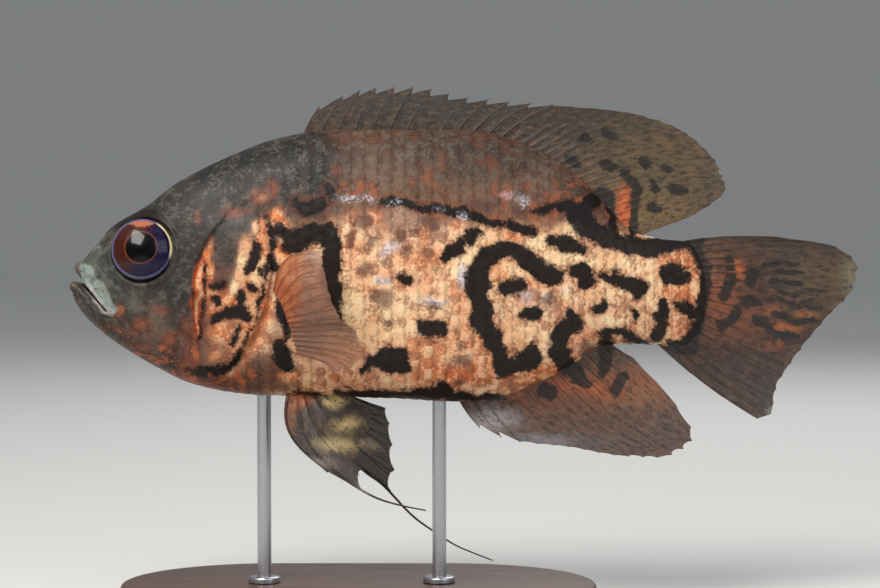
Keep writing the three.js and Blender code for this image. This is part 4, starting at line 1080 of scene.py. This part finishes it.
def web(place, rays, spines, notch, spine_notch, rng, rows=26, per_gap=5):
    """The thin skin between the rays, as a closed sheet; returns points, faces, ray numbers and shares."""
    numbers = np.linspace(0, rays - 1, (rays - 1) * per_gap + 1)
    gap = numbers - np.floor(numbers)
    spiny = numbers < spines - 1
    frays = rng.uniform(0.4, 1.6, rays)[np.floor(numbers).astype(int)]
    short = np.where(spiny, spine_notch * np.interp(gap, [0, 0.2, 0.76, 1], [0, 1, 0.3, 0]),
                     notch * frays * np.sin(math.pi * gap) ** 0.6)
    outs = np.linspace(0, 1, rows + 1)[None, :] * (1 - short)[:, None]
    grid = np.broadcast_to(numbers[:, None], outs.shape)
    centre = place(grid, outs)
    step = 0.01
    normal = np.cross(place(grid + step, outs) - place(grid - step, outs),
                      place(grid, outs + step) - place(grid, outs - step))
    normal /= np.linalg.norm(normal, axis=-1)[..., None]
    rib = WEB_RIB * np.cos(2 * math.pi * gap)[:, None] * (1 - 0.7 * outs)
    half = np.maximum(WEB_HALF * (1 - 0.55 * outs) + rib, WEB_EDGE_HALF)
    sides = np.stack([centre + normal * half[..., None], centre - normal * half[..., None]])
    wide, tall = outs.shape
    index = np.arange(2 * wide * tall).reshape(2, wide, tall)
    faces = []
    for face, flip in ((0, False), (1, True)):
        a, b = index[face, :-1, :-1].ravel(), index[face, 1:, :-1].ravel()
        c, d = index[face, 1:, 1:].ravel(), index[face, :-1, 1:].ravel()
        quads = np.stack([a, b, c, d] if not flip else [d, c, b, a], -1)
        faces += quads.tolist()
    loop = [*index[0, :, 0], *index[0, -1, 1:], *index[0, -2::-1, -1], *index[0, 0, -2:0:-1]]
    under = wide * tall
    for a, b in zip(loop, loop[1:] + loop[:1]):
        faces.append((int(b), int(a), int(a) + under, int(b) + under))
    points = sides.reshape(-1, 3)
    return points, faces, np.tile(outs.ravel(), 2), np.tile(grid.ravel(), 2)


def ray_lines(place, rays, spines, rng, spine_radius, ray_radius):
    """Centre lines of the rays with their radii: bare spines, then soft rays that branch twice."""
    lines = []
    for ray in range(rays):
        if ray < spines:
            outs = np.linspace(0.02, 1.015, 14)
            lines.append((place(np.full(14, ray), outs), spine_radius * (1 - 0.72 * outs)))
            continue
        lean = rng.uniform(-0.02, 0.02)
        fork, second = 0.34 + lean, 0.66 + lean
        trunk = np.linspace(0.02, fork, 6)
        lines.append((place(np.full(6, ray), trunk), ray_radius * (1 - 0.45 * trunk)))
        for way in (-1, 1):
            outs = np.linspace(fork, second, 7)
            part = (outs - fork) / (second - fork)
            numbers = np.clip(ray + way * 0.15 * part**0.8, 0, rays - 1)
            lines.append((place(numbers, outs), ray_radius * (0.72 - 0.4 * outs)))
            for fine in (-1, 1):
                outs = np.linspace(second, 0.955 + rng.uniform(-0.02, 0.012), 7)
                part = (outs - second) / (1 - second)
                numbers = np.clip(ray + way * 0.15 + (way * 0.09 + fine * 0.1) * part, 0, rays - 1)
                lines.append((place(numbers, outs), ray_radius * (0.58 - 0.38 * outs)))
    return lines


def ray_tree():
    """Gives every line a round section by its own radius, and makes the result real mesh."""
    tree, came, goes = shape_tree("fin_rays", Sides="Int", Finish="Material")
    nodes, links = tree.nodes, tree.links
    tree.interface.items_tree["Sides"].default_value = RAY_SIDES
    section, radius = nodes.new("GeometryNodeCurvePrimitiveCircle"), nodes.new("GeometryNodeInputRadius")
    section.inputs["Radius"].default_value = 1.0
    tubes, real = nodes.new("GeometryNodeCurveToMesh"), nodes.new("GeometryNodeRealizeInstances")
    finish = nodes.new("GeometryNodeSetMaterial")
    tubes.inputs["Fill Caps"].default_value = True
    links.new(came.outputs["Sides"], section.inputs["Resolution"])
    links.new(came.outputs["Geometry"], tubes.inputs["Curve"])
    links.new(section.outputs["Curve"], tubes.inputs["Profile Curve"])
    links.new(radius.outputs[0], tubes.inputs["Scale"])
    links.new(tubes.outputs[0], real.inputs[0])
    links.new(real.outputs[0], finish.inputs["Geometry"])
    links.new(came.outputs["Finish"], finish.inputs["Material"])
    links.new(finish.outputs[0], goes.inputs[0])
    return tree


def tubes_along(name, lines, tree):
    """Round tubes along lines, each point with its own radius, as one mesh."""
    curve = bpy.data.curves.new(name, "CURVE")
    curve.dimensions = "3D"
    for path, radii in lines:
        spline_made = curve.splines.new("POLY")
        spline_made.points.add(len(path) - 1)
        flat = np.concatenate([path * MM, np.ones((len(path), 1))], axis=1)
        spline_made.points.foreach_set("co", flat.ravel())
        spline_made.points.foreach_set("radius", np.asarray(radii) * MM)
    made = bpy.data.objects.new(name, curve)
    bpy.context.scene.collection.objects.link(made)
    shaped = made.modifiers.new("rays", "NODES")
    shaped.node_group = tree
    return settled(made)


def fin(name, looks, place, rays, spines=0, notch=0.015, spine_notch=0.12, washes=FIN_WASHES,
        ground=ink(88, 64, 48), spine_radius=0.5, ray_radius=0.34, thin_from=0.15, threads=(), marked=True):
    """A whole fin: its skin, its rays, and any free thread, in one piece."""
    rng = np.random.default_rng(sum(map(ord, name)))
    points, faces, outs, numbers = web(place, rays, spines, notch, spine_notch, rng)
    lines = ray_lines(place, rays, spines, rng, spine_radius, ray_radius) + list(threads)
    tubes = tubes_along(name + "_rays", lines, RAY_TREE)
    tube_points = points_of(tubes)
    base = len(points)
    faces += [tuple(v + base for v in polygon.vertices) for polygon in tubes.polygons]
    everything = np.concatenate([points, tube_points])
    mesh = facing_out(mesh_from(name, everything, faces))
    px, py, _, black, brown = markings(everything, np.zeros(len(everything), bool))
    give(mesh, "wash", washed(px, py, ground, washes), "FLOAT_COLOR")
    unmarked = np.full(len(px), FARTHEST_KEPT)
    give(mesh, "black", np.minimum(black, FARTHEST_KEPT) if marked else unmarked)
    give(mesh, "brown", np.minimum(brown, FARTHEST_KEPT) if marked else unmarked)
    nearest = KDTree(base)
    for index, point in enumerate(points):
        nearest.insert(point, index)
    nearest.balance()
    found = np.array([nearest.find(point)[1] for point in tube_points])
    run, far = np.append(numbers, numbers[found]), np.append(outs, outs[found])
    give(mesh, "run", np.stack([run, far * 4, np.zeros(len(run))], -1), "FLOAT_VECTOR")
    give(mesh, "out", far)
    on_web, on_rays = np.zeros(base), np.ones(len(tube_points))
    give(mesh, "ray", np.append(on_web, on_rays))
    give(mesh, "thin", np.append(smooth(outs, thin_from, thin_from + 0.4), 1 - on_rays))
    made = object_from(name, mesh, looks)
    mesh.set_sharp_from_angle(angle=math.radians(60))
    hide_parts(name)
    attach(made, "root")


def steady(*bow):
    """The same bow for every ray."""
    return lambda ray: np.broadcast_to(np.array(bow, float), (*np.shape(ray), 3))


def dorsal_fin():
    """The back fin: spines in front, soft rays behind that end in a lobe."""
    root_along = through([(0, 66), (12, 121), (14, 127), (32, 160.6)])

    def root_at(ray):
        along = root_along(ray)
        return np.stack([JAW_TIP_X + along, middle_at(along), FISH_HEIGHT + back_at(along) - 2.2], -1)

    def bow(ray):
        rise = 0.03 + 0.02 * np.minimum(1, ray / 20)
        return np.stack([np.full(ray.shape, -0.03), np.zeros(ray.shape), rise], -1)

    tip_at = over_rays([
        (0, 70.8, 0, 127.2), (1, 77.6, 0, 130.4), (3, 87, 0, 132.6), (5, 97.5, 0, 132.8),
        (8, 113, 0.2, 129.8), (12, 137, 0.8, 127.8), (15, 154, 1.5, 126.4), (18, 167.6, 2.2, 123.6),
        (21, 178.4, 3, 117.8), (24, 185.4, 3.8, 109.6), (27, 187, 4.2, 104), (30, 178, 3.6, 96.6),
        (32, 167.5, 3, 92.6),
    ])
    place = fan(root_at, tip_at, bow)
    fin("dorsal_fin", FIN, place, rays=33, spines=13, notch=0.015, spine_notch=0.14)


def anal_fin():
    """The fin below the tail's root, the dorsal fin's lobe turned downwards."""
    root_along = through([(0, 110), (2, 117), (18, 151.6)])

    def root_at(ray):
        along = root_along(ray)
        return np.stack([JAW_TIP_X + along, middle_at(along), FISH_HEIGHT + belly_at(along) + 2.2], -1)

    tip_at = over_rays([
        (0, 116.6, 0.2, 35.8), (1, 122.6, 0.2, 33.2), (2, 128, 0.3, 31.8), (5, 142.2, 0.6, 30.2),
        (8, 155, 1.2, 27.8), (11, 167.6, 2, 27), (13, 175, 2.6, 29.4), (14.5, 178, 3, 33.4),
        (16, 173, 3, 42), (18, 160.6, 2.8, 55.6),
    ])
    place = fan(root_at, tip_at, steady(-0.02, 0, -0.04))
    fin("anal_fin", FIN, place, rays=19, spines=3, notch=0.02, spine_notch=0.16)


def tail_fin():
    """The tail's fan, swinging out to the fish's right."""
    base = over_rays([(0, 172, 3, 88.4), (8.5, 177.6, 3.9, 74), (17, 167, 2.8, 60.4)])
    tip_at = over_rays([
        (0, 202, 5, 90.2), (2, 219.2, 7.5, 87.3), (4, 225.9, 10, 81.2), (6, 224.8, 12.5, 74.7),
        (8, 219.1, 15, 68.2), (11, 210.6, 19, 57), (14, 204, 23, 45.2), (16, 202.8, 25, 37.8),
        (17, 198.8, 25, 36.3),
    ])

    def bow(ray):
        lean = 0.03 * np.cos(math.pi * ray / 17)
        return np.stack([np.zeros(ray.shape), np.full(ray.shape, 0.05), lean], -1)

    fin("tail_fin", FIN, fan(base, tip_at, bow), rays=18, notch=0.01, ray_radius=0.42)


PECTORAL_WASHES = [
    (ink(194, 104, 58), 286, 285, 18, 46, 0.95), (ink(180, 120, 84), 335, 348, 34, 20, 0.7),
    (ink(140, 100, 84), 320, 280, 12, 44, 0.75), (ink(120, 88, 80), 310, 355, 26, 26, 0.6),
]


def pectoral_fin(name, side):
    """The fin behind a gill cover, spread out and down."""
    def root_at(ray):
        share = ray / 13
        along, height = 58.6 + 5.4 * share, 73.6 - 15.4 * share
        out = flank_at(along, height) - 1.6
        return np.stack([JAW_TIP_X + along, side * out, FISH_HEIGHT + height], -1)

    tips = [
        (0, 72.7, 31, 86.8), (1.5, 73.6, 34, 82.4), (4, 75.6, 37.5, 74.8), (6, 77.8, 38.5, 69),
        (8, 82.4, 38, 65.2), (9.5, 83.4, 37, 61.2), (11.5, 82.4, 34.5, 56.2), (13, 76.6, 31, 53.4),
    ]

    def bow(ray):
        upper = np.maximum(0, 1 - ray / 5)
        return np.stack([0.1 - 0.22 * upper, np.full(ray.shape, side * 0.1), 0.02 + 0.15 * upper], -1)

    tip_at = over_rays([(ray, along, side * out, height) for ray, along, out, height in tips])
    place = fan(root_at, tip_at, bow)
    fin(name, PECTORAL, place, rays=14, notch=0.03, washes=PECTORAL_WASHES,
        ground=ink(146, 102, 82), ray_radius=0.36, thin_from=0.05, marked=False)


PELVIC_WASHES = [
    (ink(186, 96, 46), 300, 396, 12, 12, 0.9), (ink(150, 96, 60), 291, 410, 6, 22, 0.7),
    (ink(214, 190, 128), 335, 400, 14, 6, 0.9), (ink(206, 180, 120), 347, 425, 16, 7, 0.85),
    (ink(190, 170, 120), 335, 445, 20, 8, 0.8), (ink(200, 180, 140), 372, 445, 12, 5, 0.7),
    (ink(150, 140, 130), 320, 465, 18, 5, 0.7), (ink(170, 160, 150), 360, 488, 12, 5, 0.7),
]
LEFT_PELVIC_TIPS = [  # ray number, along, out and height
    (0, 73.5, 12, 24.6), (1, 84.4, 11, 18.2), (2, 83.4, 9.5, 25), (3, 84.6, 8, 31.6),
    (4, 86, 6.5, 37), (5, 86.8, 5, 41.2),
]
RIGHT_PELVIC_TIPS = [
    (0, 84, 15, 22), (1, 91, 15, 16), (2, 92, 12.5, 22.4), (3, 91.4, 10, 30), (4, 90.6, 8, 36.4),
    (5, 89.6, 6, 41),
]
LEFT_THREAD = [(87.6, 11, 16.8), (94, 10.6, 14.8), (101.2, 10.2, 13.3)]
RIGHT_THREAD = [
    (96.9, 15.6, 9), (103.7, 16, 3.9), (109.4, 16.4, 0.2), (113.7, 16.8, -1.8), (120.6, 17.4, -4.6),
]
THREAD_RADIUS = 0.55


def pelvic_fin(name, side, root, bow_x, tips, thread):
    """A belly fin whose first soft ray runs out into a free thread."""
    def root_at(ray):
        along = root + 1.9 * ray
        out = 2.8 + 0.35 * (5 - ray)
        return np.stack([JAW_TIP_X + along, side * out, FISH_HEIGHT + belly_at(along) + 2.6], -1)

    def bow(ray):
        sideways, down = np.full(ray.shape, side * 0.05), np.full(ray.shape, -0.03)
        return np.stack([bow_x * (1 - ray / 6), sideways, down], -1)

    tip_at = over_rays([(ray, along, side * out, height) for ray, along, out, height in tips])
    place = fan(root_at, tip_at, bow)
    free = [(JAW_TIP_X + along, side * out, FISH_HEIGHT + height) for along, out, height in thread]
    path = spline([place(1.0, 0.6), place(1.0, 0.8), place(1.0, 0.94), *free], 60)
    radii = THREAD_RADIUS * (1 - 0.62 * np.linspace(0, 1, 60) ** 0.7)
    fin(name, FIN, place, rays=6, spines=1, notch=0.05, spine_notch=0.02, washes=PELVIC_WASHES,
        ground=ink(46, 34, 30), spine_radius=0.62, ray_radius=0.5, threads=[(path, radii)],
        marked=False)


# Eyes
PUPIL_BULGE = {"rise": 0.55, "wide": 3.6}


def eye(name, side):
    """A flattened ball with a raised pupil, turned a little upwards."""
    rings, sides = 72, 96
    polar = np.linspace(0, math.pi, rings + 1)
    turns = np.linspace(0, 2 * math.pi, sides, endpoint=False)
    far = EYE["radius"] * np.sin(polar)
    bulge = PUPIL_BULGE["rise"] * bump(far, PUPIL_BULGE["wide"]) * (polar < math.pi / 2)
    out = EYE["depth"] * np.cos(polar) + bulge
    across = far[:, None] * np.cos(turns)
    up = far[:, None] * np.sin(turns)
    local = np.stack([across, np.broadcast_to(out[:, None], across.shape), up], -1).reshape(-1, 3)
    tilt = math.radians(EYE["tilt"])
    y = local[:, 1] * math.cos(tilt) - local[:, 2] * math.sin(tilt)
    z = local[:, 2] * math.cos(tilt) + local[:, 1] * math.sin(tilt)
    x = JAW_TIP_X + EYE["along"] + local[:, 0]
    points = np.stack([x, side * (EYE["out"] + y), FISH_HEIGHT + EYE["height"] + z], -1)
    mesh = mesh_from(name, points, ring_faces(rings + 1, sides))
    give(mesh, "across", local[:, 0] + 0.3)
    give(mesh, "upward", local[:, 2] - 0.1)
    bm = bmesh.new()
    bm.from_mesh(mesh)
    bmesh.ops.remove_doubles(bm, verts=bm.verts, dist=1e-6)
    bmesh.ops.recalc_face_normals(bm, faces=bm.faces)
    bm.to_mesh(mesh)
    bm.free()
    made = object_from(name, mesh, EYE_FINISH)
    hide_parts(name)
    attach(made, "root")


# Stand
BASE = {"length": 136, "width": 84, "thickness": 8, "bevel": 1.2}
ROD_PLACES = {"stand_rod_front": -27, "stand_rod_rear": 23}
ROD_RADIUS, ROD_FOOT_RADIUS, ROD_FOOT_HEIGHT = 2, 4.6, 1.6
ROD_FOOT_GAP = 0.3
BEVEL_STEPS, FOOT_ROUNDING_STEPS, END_STEPS = 6, 5, 48


def lathe(name, profile, sides, x=0.0):
    """A turned solid about an upright axis at x."""
    turns = np.linspace(0, 2 * math.pi, sides, endpoint=False)
    points = [(x + r * math.cos(t), r * math.sin(t), z) for r, z in profile for t in turns]
    faces = ring_faces(len(profile), sides) + flat_ends(len(profile), sides)
    return facing_out(mesh_from(name, np.array(points), faces))


def stand_base():
    """A board with half-round ends, a rounded upper edge and a small chamfer below."""
    length, width, thick, bevel = BASE["length"], BASE["width"], BASE["thickness"], BASE["bevel"]
    radius, straight = width / 2, length / 2 - width / 2
    levels = [(bevel * 0.35, 0.0), (0.0, bevel * 0.35), (0.0, thick - bevel)]
    for step in range(1, BEVEL_STEPS + 1):
        turn = step / BEVEL_STEPS * math.pi / 2
        levels.append((bevel * (1 - math.cos(turn)), thick - bevel + bevel * math.sin(turn)))
    around = []
    for centre, start in ((straight, -math.pi / 2), (-straight, math.pi / 2)):
        for step in range(END_STEPS + 1):
            around.append((centre, start + math.pi * step / END_STEPS))
    points = [(c + (radius - inset) * math.cos(t), (radius - inset) * math.sin(t), z)
              for inset, z in levels for c, t in around]
    faces = ring_faces(len(levels), len(around)) + flat_ends(len(levels), len(around))
    mesh = facing_out(mesh_from("stand_base", np.array(points), faces))
    made = object_from("base_board", mesh, WOOD)
    mesh.set_sharp_from_angle(angle=math.radians(35))
    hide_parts("stand_base")
    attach(made, "root")


def stand_rods():
    """Turned steel rods, each with a round foot on the base."""
    for name, x in ROD_PLACES.items():
        foot, top = BASE["thickness"] + ROD_FOOT_GAP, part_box(name)[1][2] / MM
        rim = ROD_FOOT_HEIGHT * 0.4
        profile = [(ROD_FOOT_RADIUS, foot), (ROD_FOOT_RADIUS, foot + ROD_FOOT_HEIGHT - rim)]
        for step in range(1, FOOT_ROUNDING_STEPS + 1):
            turn = step / FOOT_ROUNDING_STEPS * math.pi / 2
            profile.append((ROD_FOOT_RADIUS - rim * (1 - math.cos(turn)),
                            foot + ROD_FOOT_HEIGHT - rim + rim * math.sin(turn)))
        profile += [(ROD_RADIUS, foot + ROD_FOOT_HEIGHT), (ROD_RADIUS, top)]
        mesh = lathe(name, profile, 48, x)
        made = object_from(name.replace("stand_", "") + "_turned", mesh, STEEL)
        mesh.set_sharp_from_angle(angle=math.radians(35))
        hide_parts(name)
        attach(made, "root")


# Studio, in metres
FLOOR = {"reach": 3.0, "bend": 1.5, "height": 3.2, "sides": 96, "colour": (0.6, 0.6, 0.59, 1)}
SKY_COLOUR, SKY_STRENGTH = (0.9, 0.94, 1.0, 1), 0.46
LAMPS = (  # name, place, size, power in watts, colour
    ("key", (-0.3, -0.5, 0.7), 0.4, 8.6, (1.0, 0.96, 0.9)),
    ("fill", (0.8, -0.8, 0.6), 0.6, 2.6, (0.93, 0.96, 1.0)),
    ("back", (0.25, 0.8, 0.8), 0.6, 4.6, (1.0, 0.98, 0.95)),
)


def studio():
    """A round pale floor that bends up into a wall, three soft lamps and the camera."""
    pale = Looks("pale_floor", Roughness=0.8)
    pale.surface.inputs["Base Color"].default_value = FLOOR["colour"]
    reach, bend, sides = FLOOR["reach"], FLOOR["bend"], FLOOR["sides"]
    turns = np.linspace(0, math.pi / 2, 13)
    profile = [(reach + bend * math.sin(t), bend * (1 - math.cos(t))) for t in turns]
    profile.append((reach + bend, FLOOR["height"]))
    rings = np.linspace(0, 2 * math.pi, sides, endpoint=False)
    points = [(0, 0, 0)] + [(r * math.cos(t), r * math.sin(t), z) for r, z in profile for t in rings]
    faces = [(0, 1 + j, 1 + (j + 1) % sides) for j in range(sides)]
    for i in range(len(profile) - 1):
        for j in range(sides):
            a, b = 1 + i * sides + j, 1 + i * sides + (j + 1) % sides
            faces.append((a, a + sides, b + sides, b))
    mesh = bpy.data.meshes.new("floor")
    mesh.from_pydata(points, [], faces)
    object_from("floor", mesh, pale.material)
    world = bpy.data.worlds.new("studio")
    world.use_nodes = True
    sky = world.node_tree.nodes["Background"]
    sky.inputs["Color"].default_value = SKY_COLOUR
    sky.inputs["Strength"].default_value = SKY_STRENGTH
    bpy.context.scene.world = world
    bpy.context.scene.view_settings.view_transform = "Standard"
    centre = Vector(VIEW_CENTRE) * MM
    for name, place, size, power, colour in LAMPS:
        light = bpy.data.lights.new(name, "AREA")
        light.size, light.energy, light.color = size, power, colour
        lamp = bpy.data.objects.new(name, light)
        lamp.location = place
        lamp.rotation_euler = (centre - Vector(place)).to_track_quat("-Z", "Y").to_euler()
        bpy.context.scene.collection.objects.link(lamp)
    lens = bpy.data.cameras.new("camera")
    lens.sensor_width = SENSOR
    lens.lens = SENSOR * CAMERA_DISTANCE / (VIEW_WIDE * PIXEL)
    lens.clip_start = 0.01
    camera = bpy.data.objects.new("camera", lens)
    away = Vector((0, -math.cos(CAMERA_RISE), math.sin(CAMERA_RISE))) * CAMERA_DISTANCE * MM
    camera.location = centre + away
    camera.rotation_euler = (-away).to_track_quat("-Z", "Y").to_euler()
    bpy.context.scene.collection.objects.link(camera)
    bpy.context.scene.camera = camera


studio()

# The finishes and the fin rays' tree, which the pieces share
SKIN = skin_looks()
FIN = fin_looks("fin_skin", 0.22)
PECTORAL = fin_looks("pectoral_skin", 0.5, 0.6)
EYE_FINISH = eye_looks()
WOOD = wood_looks()
STEEL = steel_looks()
RAY_TREE = ray_tree()

skin()
plate = scale_plate()
scatter = scatter_tree()
for name, side in (("scales_left", -1), ("scales_right", 1)):
    scales(name, side, plate, scatter)
bpy.data.objects.remove(plate)
dorsal_fin()
anal_fin()
tail_fin()
pectoral_fin("pectoral_fin_left", -1)
pectoral_fin("pectoral_fin_right", 1)
pelvic_fin("pelvic_fin_left", -1, 62.6, -0.2, LEFT_PELVIC_TIPS, LEFT_THREAD)
pelvic_fin("pelvic_fin_right", 1, 64.6, -0.12, RIGHT_PELVIC_TIPS, RIGHT_THREAD)
for name, side in (("eye_left", -1), ("eye_right", 1)):
    eye(name, side)
stand_base()
stand_rods()

bpy.context.view_layer.update()
